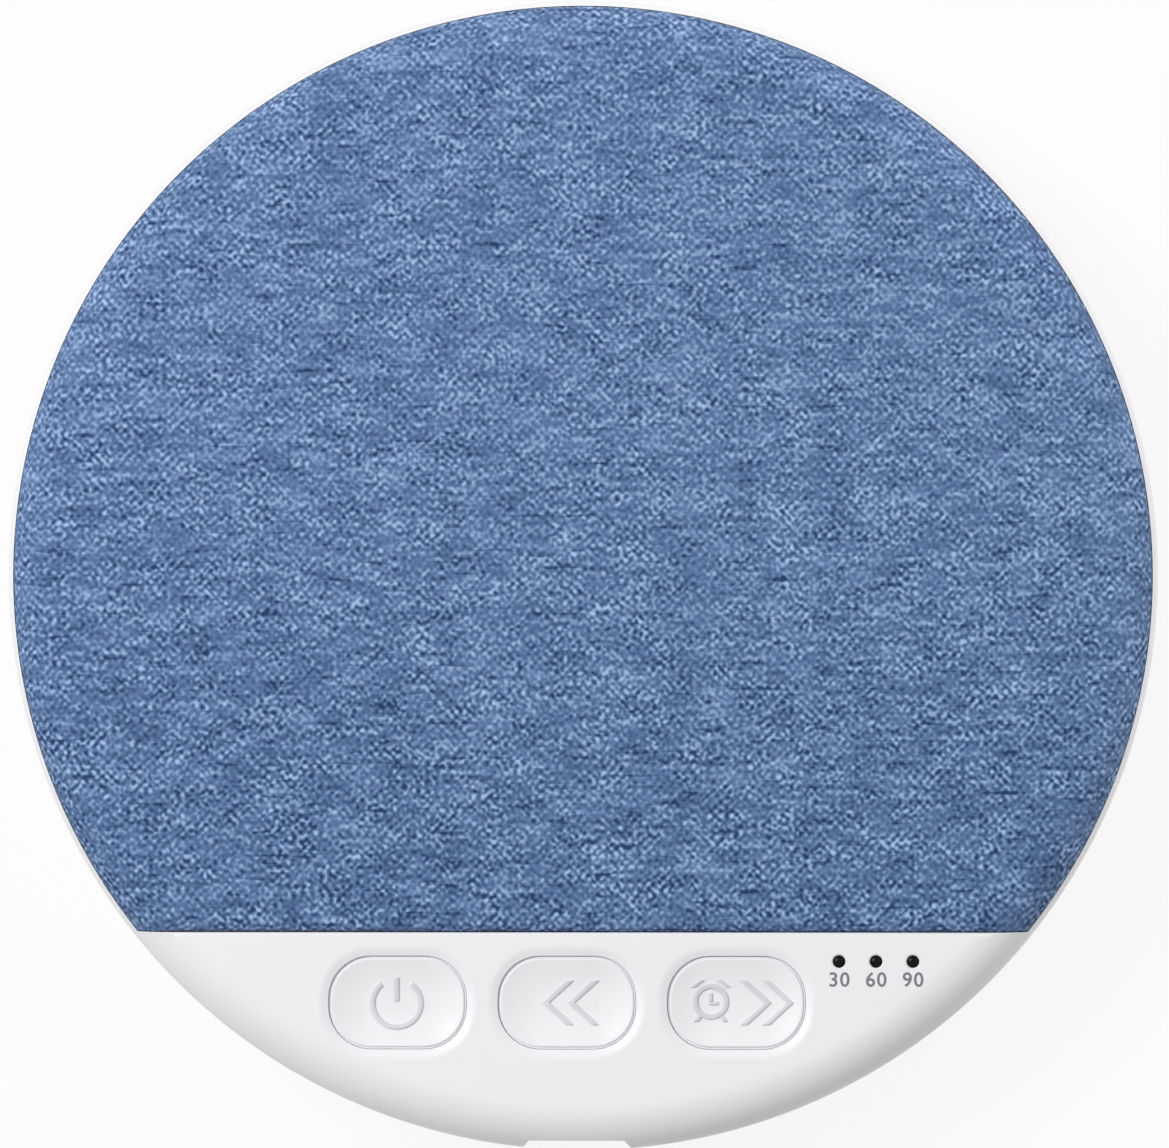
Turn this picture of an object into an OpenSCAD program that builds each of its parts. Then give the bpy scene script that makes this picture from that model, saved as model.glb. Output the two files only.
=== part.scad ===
// Pillow speaker: a flat round case with a cloth front, a row of three keys, three timer lights
// and a charging socket in the rim. Millimetres, +Z out of the cloth face, -Y towards the keys.
// The origin is under the middle of the case, on the plane that the feet stand on.

/* [Case] */
// Diameter of the case
case_d = 100; // [96:1:120]
// Thickness of the case without its feet
case_t = 15.4; // [14.8:0.1:18]
// Wall of both shells
wall = 2; // [1.6:0.1:2.4]
// Rounding of the front edge
front_round = 4; // [3.4:0.1:5]
// Rounding of the rear edge
rear_round = 4; // [3:0.1:5]
// Height of the lip that keys the shells together
lip_h = 1.5; // [1:0.1:2]
// Thickness of that lip
lip_t = 1; // [0.8:0.1:1.2]
// Clearance between pieces that are pushed together
fit_gap = 0.1; // [0.05:0.01:0.2]

/* [Cloth front] */
// White rim that shows round the cloth
rim_w = 0.8; // [0.5:0.1:1.2]
// Thickness of the cloth
cloth_t = 0.6; // [0.4:0.1:0.8]
// Glue line under the cloth
glue_t = 0.05; // [0.03:0.01:0.08]
// Thickness of the grille plate
grille_t = 2; // [1.6:0.1:2.4]
// Width of the turned-down foot round the grille plate
grille_foot_w = 1.2; // [0.8:0.1:1.5]
// Radius of a sound hole
sound_hole_r = 1.1; // [0.8:0.1:1.3]
// Distance between sound holes
sound_hole_pitch = 3.2; // [2.8:0.1:4]
// Thickness of the tape under the grille plate
tape_t = 0.4; // [0.3:0.05:0.6]
// Width of the ledge that carries the grille plate
ledge_w = 3.5; // [3:0.1:5]
// Thickness of that ledge
ledge_t = 1.5; // [1:0.1:2]
// Wall between the cloth and the key panel
divider_t = 1; // [0.8:0.1:1.2]

/* [Keys] */
// Length of a key
key_w = 11.6; // [10:0.1:13]
// Width of a key
key_h = 7.7; // [7:0.1:8.5]
// Corner radius of a key
key_r = 3.5; // [2.5:0.1:3.5]
// Distance between keys
key_pitch = 14.7; // [14:0.1:16]
// Place of the middle key, left to right
key_x = -1.3; // [-2:0.1:2]
// Height of the key row above the lowest point of the rim
key_rise = 13; // [12.4:0.1:14]
// Distance from the keys to the cloth
key_to_cloth = 2.25; // [2:0.05:3]
// Gap round a key
key_gap = 0.2; // [0.15:0.05:0.3]
// Depth of the hollow that each key sits in
dish_depth = 0.8; // [0.5:0.1:1]
// Width of that hollow outside the key
dish_w = 0.85; // [0.6:0.05:1]
// Width of the flange that holds a key in
key_flange_w = 0.6; // [0.4:0.1:0.8]
// Thickness of that flange
key_flange_t = 1; // [0.8:0.1:1.2]
// Play above that flange
key_play = 0.1; // [0.05:0.05:0.2]
// Radius of the stem under a key
key_stem_r = 1.5; // [1.2:0.1:1.8]
// Travel of a key
key_travel = 0.5; // [0.3:0.05:0.6]

/* [Timer lights] */
// Radius of a light
light_r = 0.5; // [0.4:0.05:0.7]
// Distance between lights
light_pitch = 3.2; // [2.8:0.1:3.6]
// Place of the middle light, left to right
light_x = 25.5; // [24:0.1:26]
// Distance from the lights to the cloth
light_to_cloth = 2.5; // [2.3:0.1:2.8]
// Clearance round a light
light_gap = 0.05; // [0.03:0.01:0.08]
// How far a light sits below the panel
light_sink = 0.2; // [0.1:0.05:0.4]
// Width of the light guide's bar
guide_w = 2.4; // [2:0.1:2.6]
// Thickness of the light guide's bar
guide_t = 1.6; // [1.2:0.1:2]
// Radius of the light guide's posts
guide_post_r = 0.8; // [0.6:0.05:0.85]
// Height of a light source on the board
led_h = 0.6; // [0.4:0.1:0.8]
// Width of a light source
led_w = 0.8; // [0.6:0.1:1]
// Length of a light source
led_l = 1.6; // [1.2:0.1:1.8]

/* [Circuit board] */
// Distance from the key panel to the board
board_drop = 4.4; // [4.2:0.1:5]
// Thickness of the board
board_t = 1.2; // [1:0.1:1.6]
// Clearance from the board to the lip
board_gap = 1; // [0.6:0.1:1.5]
// How far the board reaches under the cloth
board_reach = 0.5; // [0.2:0.1:1]
// Width of a key switch
switch_w = 4.5; // [4:0.1:5]
// Height of a key switch without its plunger
switch_h = 1.6; // [1.4:0.1:1.8]
// Radius of a plunger
plunger_r = 1; // [0.8:0.1:1.2]
// Running clearance round a plunger
plunger_gap = 0.06; // [0.04:0.01:0.1]
// Room over and under a plunger that is pressed
plunger_rest = 0.2; // [0.15:0.05:0.25]
// Depth of a plunger in its switch
plunger_depth = 0.7; // [0.6:0.05:0.75]
// Side of the wireless chip
radio_w = 6; // [4:0.5:7]
// Side of the amplifier chip
amplifier_w = 4; // [3:0.5:5]
// Height of a chip
chip_h = 0.9; // [0.7:0.1:1.2]
// Length of a capacitor
capacitor_l = 2; // [1.6:0.1:2.4]
// Width of a capacitor
capacitor_w = 1.2; // [0.8:0.1:1.4]
// Distance between capacitors
capacitor_pitch = 2.6; // [2.2:0.1:3]
// Number of capacitors
capacitor_count = 5; // [3:1:6]
// Side of a solder joint
solder_w = 1; // [0.8:0.1:1.1]

/* [Charging socket] */
// Width of the socket's shell
usb_w = 7.5; // [7:0.1:8]
// Height of the socket's shell
usb_h = 2.5; // [2.3:0.1:2.8]
// Depth of the socket's shell
usb_l = 5.2; // [5:0.1:6]
// Corner radius of the socket's shell
usb_corner_r = 0.6; // [0.5:0.05:0.8]
// Sheet thickness of the socket's shell
usb_sheet_t = 0.25; // [0.2:0.05:0.3]
// Place of the socket, left to right
usb_x = -0.5; // [-2:0.1:2]
// How far the socket sits behind the flat
usb_sink = 0.15; // [0:0.05:0.3]
// Clearance round the socket in the shells
usb_gap = 0.25; // [0.15:0.05:0.3]
// Width of the contact tongue
tongue_w = 4; // [3.5:0.1:4.5]
// Thickness of the contact tongue
tongue_t = 0.6; // [0.5:0.1:0.7]
// How far the tongue stops short of the mouth
tongue_sink = 0.8; // [0.5:0.1:1.2]
// Depth of the block behind the tongue
tongue_block_l = 1.2; // [0.8:0.1:1.6]
// Width of the flat in the rim
flat_w = 8.3; // [8.1:0.1:9]
// Depth of the flat in the rim
flat_depth = 0.95; // [0.8:0.05:1.2]
// Sideways run of the flat's slanted ends for each millimetre outwards
flat_slant = 0.82; // [0.6:0.02:1]

/* [Battery] */
// Length of the cell
cell_l = 50; // [40:1:54]
// Width of the cell
cell_w = 20; // [16:0.5:22]
// Thickness of the cell
cell_t = 6; // [4:0.1:6.4]
// Thickness of the foam pad under the cell
pad_t = 0.5; // [0.3:0.1:0.8]
// How far the pad stops short of the cell's edge
pad_inset = 2; // [1:0.5:4]
// Thickness of the protection board at the cell's end
guard_t = 1; // [0.6:0.1:1.4]
// Height of the protection board
guard_h = 4; // [3:0.5:4.5]
// Wall of the cell's tray
tray_t = 1; // [0.8:0.1:1.4]
// Height of the cell's tray
tray_h = 3; // [2:0.5:3]
// Clearance round the cell in its tray
tray_gap = 0.3; // [0.2:0.1:0.5]
// Distance from the cell to the board and to the driver
cell_gap = 1; // [0.8:0.1:2]

/* [Driver] */
// Radius of the driver's flange
driver_r = 24; // [23:0.5:26]
// Depth of the driver behind its flange
driver_depth = 8.4; // [8.2:0.1:9]
// Thickness of the flange
flange_t = 1; // [0.8:0.1:1.2]
// Radius of the opening inside the flange
basket_r = 18.6; // [18.2:0.1:19]
// Wall of the basket
basket_t = 1.2; // [0.8:0.1:1.3]
// Width of the step that carries the surround
step_w = 1; // [0.8:0.1:1.4]
// Flange between a driver screw's head and the basket
screw_land = 0.5; // [0.4:0.05:0.6]
// Thickness of the gasket
gasket_t = 0.4; // [0.3:0.1:0.6]
// How far the cone's edge lies behind the flange
cone_recess = 1.9; // [1.8:0.1:2.1]
// Thickness of the cone
cone_t = 0.3; // [0.2:0.05:0.4]
// Width of the surround's roll
roll_w = 2.2; // [1.8:0.1:2.4]
// Height of the surround's roll
roll_h = 0.9; // [0.6:0.1:1]
// Thickness of the surround
roll_t = 0.2; // [0.15:0.05:0.25]
// Width of the glued edges of the surround
roll_edge_w = 0.7; // [0.5:0.1:0.8]
// Travel of the cone each way
cone_travel = 0.3; // [0.2:0.05:0.35]
// Inner radius of the voice coil
coil_r = 6.6; // [6:0.1:7]
// Thickness of the voice coil
coil_t = 0.7; // [0.5:0.1:0.8]
// Length of the voice coil
coil_l = 2.8; // [2.2:0.1:3]
// Clearance each side of the voice coil
coil_gap = 0.4; // [0.3:0.05:0.5]
// Wall of the yoke
yoke_t = 2.4; // [1.8:0.1:2.8]
// Thickness of the yoke's floor
yoke_floor_t = 1.4; // [1:0.1:1.6]
// Height of the magnet
magnet_h = 2.2; // [1.8:0.1:2.4]
// Height of the pole plate
pole_h = 1.3; // [1:0.1:1.5]
// Height of the dust cap
dust_cap_h = 1; // [0.6:0.1:1.1]
// Width of a vent in the basket
vent_w = 7; // [5:0.5:8]
// Width of the terminal strip
terminal_w = 8; // [6:0.5:10]
// Length of the terminal strip
terminal_l = 3.2; // [2.5:0.1:4]
// Thickness of the terminal strip
terminal_t = 0.8; // [0.6:0.1:1]

/* [Leads] */
// Radius of a lead
lead_r = 0.5; // [0.4:0.05:0.55]
// Distance between two leads
lead_pitch = 2.6; // [2:0.1:3]
// Clearance under the leads where they cross the cell and the board
lead_gap = 0.15; // [0.1:0.05:0.2]
// How far the leads reach over the board
lead_land = 0.9; // [0.7:0.1:1]

/* [Screws and feet] */
// Radius of a case screw's shank
case_screw_r = 1; // [0.8:0.1:1.2]
// Length of a case screw's shank
case_screw_l = 6; // [5:0.5:7]
// Radius of a case screw's head
case_head_r = 2; // [1.8:0.1:2.2]
// Height of a case screw's head
case_head_h = 1.5; // [1.2:0.1:1.6]
// Plastic between a case screw's head and the front boss
clamp_t = 2; // [1.5:0.1:2.2]
// Height of a case screw's seat over the rear face
seat_rise = 3.2; // [2.8:0.1:3.4]
// Distance from the case screws to the inside of the wall
screw_inset = 6.5; // [6:0.1:8]
// Angle of the upper screws from the X axis
upper_angle = 45; // [38:1:60]
// Angle of the lower screws from the X axis
lower_angle = -32; // [-34:1:-20]
// Wall of a boss round its bore
boss_t = 1.9; // [1.5:0.1:2.2]
// Wall of a board boss round its bore
small_boss_t = 0.95; // [0.8:0.05:1.1]
// Thickness of the rib that joins a boss to the wall
rib_t = 2; // [1.5:0.1:3]
// Radius of a small screw's shank
small_screw_r = 0.8; // [0.7:0.05:0.9]
// Radius of a small screw's head
small_head_r = 1.6; // [1.4:0.1:1.7]
// Height of a small screw's head
small_head_h = 1; // [0.8:0.1:1.2]
// Thread that a small screw has in its boss
small_thread_l = 1.5; // [1.2:0.1:1.6]
// Distance from the keys' centre line to the board's lower screws
board_screw_drop = 5.3; // [5.1:0.1:5.6]
// Place of the board's third screw, left to right
board_screw_x = -27; // [-28:0.1:-25]
// Width and depth of the cross slot in a screw
slot_t = 0.5; // [0.3:0.05:0.6]
// Clearance round a screw
screw_gap = 0.05; // [0.03:0.01:0.1]
// Radius of a foot
foot_r = 5; // [4:0.1:5.5]
// How far a foot stands out
foot_proud = 0.6; // [0.4:0.1:0.8]
// How far a foot is let into the rear face
foot_let = 0.6; // [0.4:0.1:0.8]

/* [Hidden] */
$fn = 96;
// Overlap that makes two pieces of one solid join
bond = 0.4;
// Length past a face that makes a cut clean
past = 1;
white = "#ecebee";
denim = "#6580a8";

// Levels of the case, from the floor up
case_z0 = foot_proud;
case_z1 = case_z0 + case_t;
floor_z = case_z0 + wall;
roof_z = case_z1 - wall;
grille_inset = cloth_t + glue_t;
grille_z1 = case_z1 - grille_inset;
grille_z0 = grille_z1 - grille_t;
ledge_z1 = grille_z0 - tape_t;
ledge_z0 = ledge_z1 - ledge_t;
board_z1 = roof_z - board_drop;
board_z0 = board_z1 - board_t;
usb_z = board_z0 - usb_h / 2;
part_z = usb_z;

// Plan of the case
case_r = case_d / 2;
inner_r = case_r - wall;
cloth_r = case_r - rim_w;
lip_r = inner_r - fit_gap;
ledge_r = inner_r - ledge_w;
key_y = key_rise - case_r;
divide_y = key_y + key_h / 2 + key_to_cloth;
light_y = divide_y - light_to_cloth;
flat_y = flat_depth - case_r;
board_r = lip_r - lip_t - board_gap;
board_y = divide_y + board_reach;
key_places = [for (i = [-1, 0, 1]) [key_x + i * key_pitch, key_y]];
light_places = [for (i = [-1, 0, 1]) [light_x + i * light_pitch, light_y]];

// Keys, their switches and the lights
key_z0 = roof_z - key_play - key_flange_t;
switch_z1 = board_z1 + switch_h;
plunger_z1 = switch_z1 + key_travel + plunger_rest;
plunger_z0 = switch_z1 - plunger_depth;
light_hole_r = light_r + light_gap;
light_z1 = case_z1 - light_sink;
guide_foot_z = board_z1 + led_h + lead_gap;

// Battery
pad_z1 = floor_z + pad_t;
cell_z1 = pad_z1 + cell_t;
cell_y = board_y + cell_gap + cell_w / 2;

// Driver, measured back from the front of its flange
driver_y = cell_y + cell_w / 2 + cell_gap + driver_r;
driver_z = grille_z0 - gasket_t;
cone_z = driver_z - cone_recess;
basket_out_r = basket_r + basket_t;
step_r = basket_r - step_w;
cone_r = step_r - roll_w;
yoke_z0 = driver_z - driver_depth;
magnet_z0 = yoke_z0 + yoke_floor_t;
pole_z0 = magnet_z0 + magnet_h;
pole_z1 = pole_z0 + pole_h;
neck_z = pole_z1 + coil_gap + cone_travel;
pole_r = coil_r - coil_gap;
yoke_in_r = coil_r + coil_t + coil_gap;
yoke_r = yoke_in_r + yoke_t;
basket_floor_z = pole_z1 - flange_t;
terminal_y = driver_y - basket_out_r;
terminal_z0 = basket_floor_z - terminal_t;

// Screws
case_seat_z = case_z0 + seat_rise;
tower_z1 = case_seat_z + clamp_t;
screw_ring_r = inner_r - screw_inset;
case_bore_r = case_screw_r + screw_gap;
small_bore_r = small_screw_r + screw_gap;
boss_r = case_bore_r + boss_t;
tower_r = case_head_r + boss_t;
case_screw_angles = [upper_angle, 180 - upper_angle, 180 - lower_angle, lower_angle];
case_screw_places = [for (a = case_screw_angles) screw_ring_r * [cos(a), sin(a)]];
board_screw_places = [
  [key_x - key_pitch / 2, key_y - board_screw_drop],
  [key_x + key_pitch / 2, key_y - board_screw_drop],
  [board_screw_x, light_y]];
board_boss_r = small_bore_r + small_boss_t;
driver_screw_r = basket_out_r + small_head_r + screw_land;
driver_screw_places = [for (a = [45 : 90 : 315])
  [driver_screw_r * cos(a), driver_y + driver_screw_r * sin(a)]];

// Leads: the speaker's pair crosses the cell to the board, the cell's pair goes round its own end
lead_sides = [-lead_pitch / 2, lead_pitch / 2];
lead_z = max(cell_z1, board_z1) + lead_r + lead_gap;
lead_end_y = board_y - lead_land;
lead_step = (terminal_y - cell_y - cell_w / 2) / 5;
guard_x = cell_l / 2 + guard_t;
guard_z = pad_z1 + cell_t / 2;
cell_lead_x = (guard_x + case_screw_places[3].x - boss_r) / 2;
lead_bend = (cell_lead_x - lead_pitch / 2 - guard_x) / 2;

function speaker_route(side) = let (z = terminal_z0 + terminal_t / 2) [
  [side, terminal_y, z],
  [side, terminal_y - lead_step, z],
  [side, terminal_y - 2 * lead_step, z + 0.3 * (lead_z - z)],
  [side, terminal_y - 3 * lead_step, z + 0.7 * (lead_z - z)],
  [side, terminal_y - 4 * lead_step, lead_z],
  [side, cell_y, lead_z],
  [side, board_y, lead_z],
  [side, lead_end_y, lead_z]];

function cell_route(side) = let (x = cell_lead_x + side, y = cell_y + side, z = guard_z + guard_h / 5) [
  [guard_x, y, z],
  [x - lead_bend, y, z],
  [x - lead_bend / 3, y - lead_bend / 3, z],
  [x, y - lead_bend, z],
  [x, y - 3 * lead_bend, z],
  [x, (y + board_y) / 2 - lead_bend, (z + lead_z) / 2],
  [x, board_y + cell_gap, lead_z],
  [x, board_y, lead_z],
  [x, lead_end_y, lead_z]];

lead_ends = [
  for (side = lead_sides) [side, lead_end_y],
  for (side = lead_sides) [cell_lead_x + side, lead_end_y]];

// A tube along a list of points, with eight sides
function unit(v) = v / norm(v);
function heading(points, i) =
  unit(points[min(i + 1, len(points) - 1)] - points[max(i - 1, 0)]);
function tube_ring(points, i, r, sides) = let (
  along = heading(points, i),
  across = unit(cross(along, [0, 0, 1])),
  over = cross(across, along))
  [for (k = [0 : sides - 1]) let (a = 360 * k / sides) points[i] + r * (cos(a) * across + sin(a) * over)];

module tube(points, r, sides = 8) {
  rings = len(points);
  corners = [for (i = [0 : rings - 1]) each tube_ring(points, i, r, sides)];
  walls = [for (i = [0 : rings - 2], k = [0 : sides - 1]) let (n = (k + 1) % sides)
    each [[i * sides + k, i * sides + n, (i + 1) * sides + n],
      [i * sides + k, (i + 1) * sides + n, (i + 1) * sides + k]]];
  first = [for (k = [1 : sides - 2]) [0, k + 1, k]];
  last = [for (k = [1 : sides - 2]) (rings - 1) * sides * [1, 1, 1] + [0, k, k + 1]];
  polyhedron(corners, [each first, each walls, each last]);
}

// Shapes that several pieces share
module rounded(w, h, r) {
  square([w, h - 2 * r], center = true);
  square([w - 2 * r, h], center = true);
  for (x = [-1, 1], y = [-1, 1])
    translate([x * (w / 2 - r), y * (h / 2 - r)]) circle(r);
}

module block(size, place) {
  translate([place.x - size.x / 2, place.y - size.y / 2, place.z]) cube(size);
}

module ring(r_in, r_out, z0, z1) {
  rotate_extrude() translate([r_in, z0]) square([r_out - r_in, z1 - z0]);
}

module rods(places, r, z0, z1) {
  for (p = places) translate([p.x, p.y, z0]) cylinder(h = z1 - z0, r = r);
}

// Half section of the case, drawn in by an inset
module case_section(inset) {
  front = [case_r - front_round, case_z1 - front_round];
  rear = [case_r - rear_round, case_z0 + rear_round];
  translate([0, case_z0 + inset]) square([rear.x, rear_round]);
  translate([0, rear.y]) square([case_r - inset, front.y - rear.y]);
  translate([0, front.y - inset]) square([front.x, front_round]);
  translate(front) circle(front_round - inset);
  translate(rear) circle(rear_round - inset);
}

module case_solid(inset) {
  rotate_extrude() case_section(inset);
}

module layer(z0, z1) {
  translate([-case_d, -case_d, z0]) cube([2 * case_d, 2 * case_d, z1 - z0]);
}

// A disc cut off by one straight edge, as the cloth front is
module cut_disc(r, edge_y) {
  intersection() {
    circle(r);
    translate([-case_r, edge_y]) square([case_d, case_d]);
  }
}

module front_plan(inset) {
  cut_disc(cloth_r - inset, divide_y + inset);
}

module front_block(inset, z0) {
  intersection() {
    case_solid(inset);
    translate([0, 0, z0]) linear_extrude(case_t) front_plan(fit_gap + inset);
  }
}

// Hollow that a key sits in: a capsule lying along X that dips into the panel
module key_dish(place) {
  h = key_h / 2 + dish_w;
  l = (key_w - key_h) / 2;
  r = (h * h + dish_depth * dish_depth) / (2 * dish_depth);
  translate([place.x, place.y, case_z1 - dish_depth + r])
    rotate([0, 90, 0]) rotate_extrude() intersection() {
      union() {
        translate([0, -l]) square([r, 2 * l]);
        translate([0, -l]) circle(r);
        translate([0, l]) circle(r);
      }
      translate([0, -l - r]) square([r, 2 * (l + r)]);
    }
}

module key_body(place, grow, z0, z1) {
  translate([place.x, place.y, z0])
    linear_extrude(z1 - z0) rounded(key_w + 2 * grow, key_h + 2 * grow, key_r + grow);
}

// The flat that the socket opens through, and the hole for the socket
module port_cut() {
  mouth = flat_w / 2 + flat_slant * (flat_depth + past);
  linear_extrude(case_z1 + past) polygon([
    [usb_x - flat_w / 2, flat_y],
    [usb_x + flat_w / 2, flat_y],
    [usb_x + mouth, -case_r - past],
    [usb_x - mouth, -case_r - past]]);
  translate([usb_x, 0, usb_z]) rotate([90, 0, 0]) translate([0, 0, board_r])
    linear_extrude(case_r) rounded(usb_w + 2 * usb_gap, usb_h + 2 * usb_gap, usb_corner_r + usb_gap);
}

module shell_wall(z0, z1) {
  intersection() {
    difference() {
      case_solid(0);
      case_solid(wall);
    }
    layer(z0, z1);
  }
}

// Case
module rear_shell() {
  tray = [cell_l + guard_t + 2 * tray_gap, cell_w + 2 * tray_gap, tray_h];
  color(white) difference() {
    union() {
      shell_wall(0, part_z);
      rotate_extrude() polygon([
        [lip_r - lip_t, part_z - lip_h],
        [inner_r + bond, part_z - lip_h],
        [inner_r + bond, part_z],
        [lip_r, part_z],
        [lip_r, part_z + lip_h],
        [lip_r - lip_t, part_z + lip_h]]);
      rods(case_screw_places, tower_r, floor_z - bond, tower_z1);
      difference() {
        block(tray + 2 * [tray_t, tray_t, 0] + [0, 0, bond], [guard_t / 2, cell_y, floor_z - bond]);
        block(tray + [0, 0, past], [guard_t / 2, cell_y, floor_z]);
      }
    }
    rods(case_screw_places, foot_r + fit_gap, 0, case_z0 + foot_let);
    rods(case_screw_places, case_head_r + fit_gap, 0, case_seat_z);
    rods(case_screw_places, case_bore_r, 0, tower_z1 + past);
    port_cut();
  }
}

module ledge() {
  translate([0, 0, ledge_z0]) linear_extrude(ledge_t) difference() {
    cut_disc(inner_r + bond, divide_y - divider_t);
    cut_disc(ledge_r, divide_y + ledge_w);
  }
}

module divider() {
  intersection() {
    case_solid(wall / 2);
    translate([-case_r, divide_y - divider_t, ledge_z0]) cube([case_d, divider_t, case_t]);
  }
}

module case_bosses() {
  rods(case_screw_places, boss_r, tower_z1, ledge_z1);
  for (a = case_screw_angles) rotate([0, 0, a])
    translate([screw_ring_r, -rib_t / 2, part_z + lip_h + past / 2])
      cube([screw_inset + bond, rib_t, ledge_z1 - part_z - lip_h - past / 2]);
}

module front_shell() {
  color(white) difference() {
    union() {
      difference() {
        shell_wall(part_z, case_z1 + past);
        translate([0, 0, ledge_z1]) linear_extrude(case_t) front_plan(0);
      }
      ledge();
      divider();
      case_bosses();
      rods(board_screw_places, board_boss_r, board_z1, roof_z + bond);
    }
    for (p = key_places) {
      key_body(p, key_gap, ledge_z0, case_z1 + past);
      key_dish(p);
    }
    rods(light_places, light_hole_r, ledge_z0, case_z1 + past);
    rods(case_screw_places, case_bore_r, tower_z1 - past, case_seat_z + case_screw_l + past);
    rods(board_screw_places, small_bore_r, board_z1 - past, board_z1 + small_thread_l + past);
    port_cut();
  }
}

// Sound holes in rows over the cone, every other row shifted by half a step
module sound_holes() {
  row_step = sound_hole_pitch * sqrt(3) / 2;
  reach = cone_r - sound_hole_r;
  rows = floor(reach / row_step);
  places = [for (j = [-rows : rows], i = [-2 * rows : 2 * rows])
    let (p = [(i + (j % 2 == 0 ? 0 : 0.5)) * sound_hole_pitch, j * row_step])
    if (norm(p) <= reach) [p.x, driver_y + p.y]];
  rods(places, sound_hole_r, grille_z0 - past, grille_z1 + past);
}

module grille_plate() {
  color("#3a3c40") difference() {
    front_block(grille_inset, ledge_z1);
    translate([0, 0, ledge_z1 - past])
      linear_extrude(tape_t + past) front_plan(fit_gap + grille_inset + grille_foot_w);
    sound_holes();
    rods(driver_screw_places, small_bore_r, grille_z0 - past, grille_z0 + small_thread_l + screw_gap);
  }
}

module grille_tape() {
  color("#e4e0d4") translate([0, 0, ledge_z1]) linear_extrude(tape_t) difference() {
    front_plan(2 * fit_gap + grille_inset + grille_foot_w);
    cut_disc(ledge_r, divide_y + ledge_w);
  }
}

module cloth_cover() {
  color(denim) difference() {
    front_block(0, ledge_z1);
    front_block(cloth_t, ledge_z1 - past);
  }
}

module rubber_feet() {
  color("#8d9096") rods(case_screw_places, foot_r, 0, case_z0 + foot_let);
}

// Keys and lights
module key(place) {
  color(white) difference() {
    union() {
      key_body(place, 0, key_z0, case_z1);
      intersection() {
        key_body(place, key_flange_w, key_z0, key_z0 + key_flange_t);
        case_solid(wall + key_gap);
      }
      rods([place], key_stem_r, plunger_z1, key_z0 + bond);
    }
    key_dish(place);
  }
}

module power_key() {
  key(key_places[0]);
}

module previous_key() {
  key(key_places[1]);
}

module next_key() {
  key(key_places[2]);
}

module plunger(place) {
  color("#d8d4c8") rods([place], plunger_r, plunger_z0, plunger_z1);
}

module power_plunger() {
  plunger(key_places[0]);
}

module previous_plunger() {
  plunger(key_places[1]);
}

module next_plunger() {
  plunger(key_places[2]);
}

module key_switch(place) {
  color("#2b2c2f") difference() {
    block([switch_w, switch_w, switch_h], [place.x, place.y, board_z1]);
    rods([place], plunger_r + plunger_gap, plunger_z0 - key_travel - plunger_rest, switch_z1 + past);
  }
}

module power_switch() {
  key_switch(key_places[0]);
}

module previous_switch() {
  key_switch(key_places[1]);
}

module next_switch() {
  key_switch(key_places[2]);
}

module light_guide() {
  bar_l = 2 * light_pitch + guide_w;
  color("#1d1e22") {
    translate([light_x, light_y, roof_z - guide_t])
      linear_extrude(guide_t) rounded(bar_l, guide_w, guide_post_r);
    rods(light_places, light_r, roof_z - bond, light_z1);
    rods(light_places, guide_post_r, guide_foot_z, roof_z - guide_t + bond);
  }
}

module timer_leds() {
  color("#f4ecc8") for (p = light_places) block([led_w, led_l, led_h], [p.x, p.y, board_z1]);
}

// Circuit board
module circuit_board() {
  color("#1f6b45") difference() {
    translate([0, 0, board_z0]) linear_extrude(board_t) intersection() {
      circle(board_r);
      translate([-case_r, -case_d + board_y]) square([case_d, case_d]);
    }
    rods(board_screw_places, small_bore_r, board_z0 - past, board_z1 + past);
  }
}

module radio_chip() {
  color("#222326") block([radio_w, radio_w, chip_h], [key_places[0].x, key_y, board_z0 - chip_h]);
}

module amplifier_chip() {
  color("#222326") block([amplifier_w, amplifier_w, chip_h], [key_places[2].x, key_y, board_z0 - chip_h]);
}

module board_capacitors() {
  color("#b08a5c") for (i = [0 : capacitor_count - 1])
    block([capacitor_w, capacitor_l, chip_h],
      [key_x + (i - (capacitor_count - 1) / 2) * capacitor_pitch, key_y, board_z0 - chip_h]);
}

module solder_joints() {
  color("#c9ccd1") for (p = lead_ends)
    block([solder_w, solder_w, lead_z + lead_r - board_z1], [p.x, p.y - solder_w / 2, board_z1]);
}

module usb_shell() {
  mouth_y = flat_y + usb_sink;
  inside = [usb_w - 2 * usb_sheet_t, usb_h - 2 * usb_sheet_t];
  color("#c4c7cc") translate([usb_x, mouth_y + usb_l, usb_z]) rotate([90, 0, 0]) difference() {
    linear_extrude(usb_l) rounded(usb_w, usb_h, usb_corner_r);
    translate([0, 0, usb_sheet_t])
      linear_extrude(usb_l) rounded(inside.x, inside.y, usb_corner_r - usb_sheet_t);
  }
}

module usb_tongue() {
  mouth_y = flat_y + usb_sink;
  back_y = mouth_y + usb_l - usb_sheet_t;
  inside = [usb_w - 2 * usb_corner_r, tongue_block_l, usb_h - 2 * usb_sheet_t];
  tongue = [tongue_w, usb_l - usb_sheet_t - tongue_sink, tongue_t];
  color("#1b1c1f") {
    block(inside, [usb_x, back_y - tongue_block_l / 2, usb_z - inside.z / 2]);
    block(tongue, [usb_x, back_y - tongue.y / 2, usb_z - tongue_t / 2]);
  }
}

// Battery
module battery_cell() {
  color("#b9bec6") block([cell_l, cell_w, cell_t], [0, cell_y, pad_z1]);
}

module battery_guard() {
  color("#1f6b45") block([guard_t, cell_w, guard_h], [guard_x - guard_t / 2, cell_y, guard_z - guard_h / 2]);
}

module battery_pad() {
  color("#2e2f33")
    block([cell_l - 2 * pad_inset, cell_w - 2 * pad_inset, pad_t], [0, cell_y, floor_z]);
}

module battery_leads() {
  color("#b3262b") for (side = lead_sides) tube(cell_route(side), lead_r);
}

module speaker_leads() {
  color("#24262a") for (side = lead_sides) tube(speaker_route(side), lead_r);
}

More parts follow.
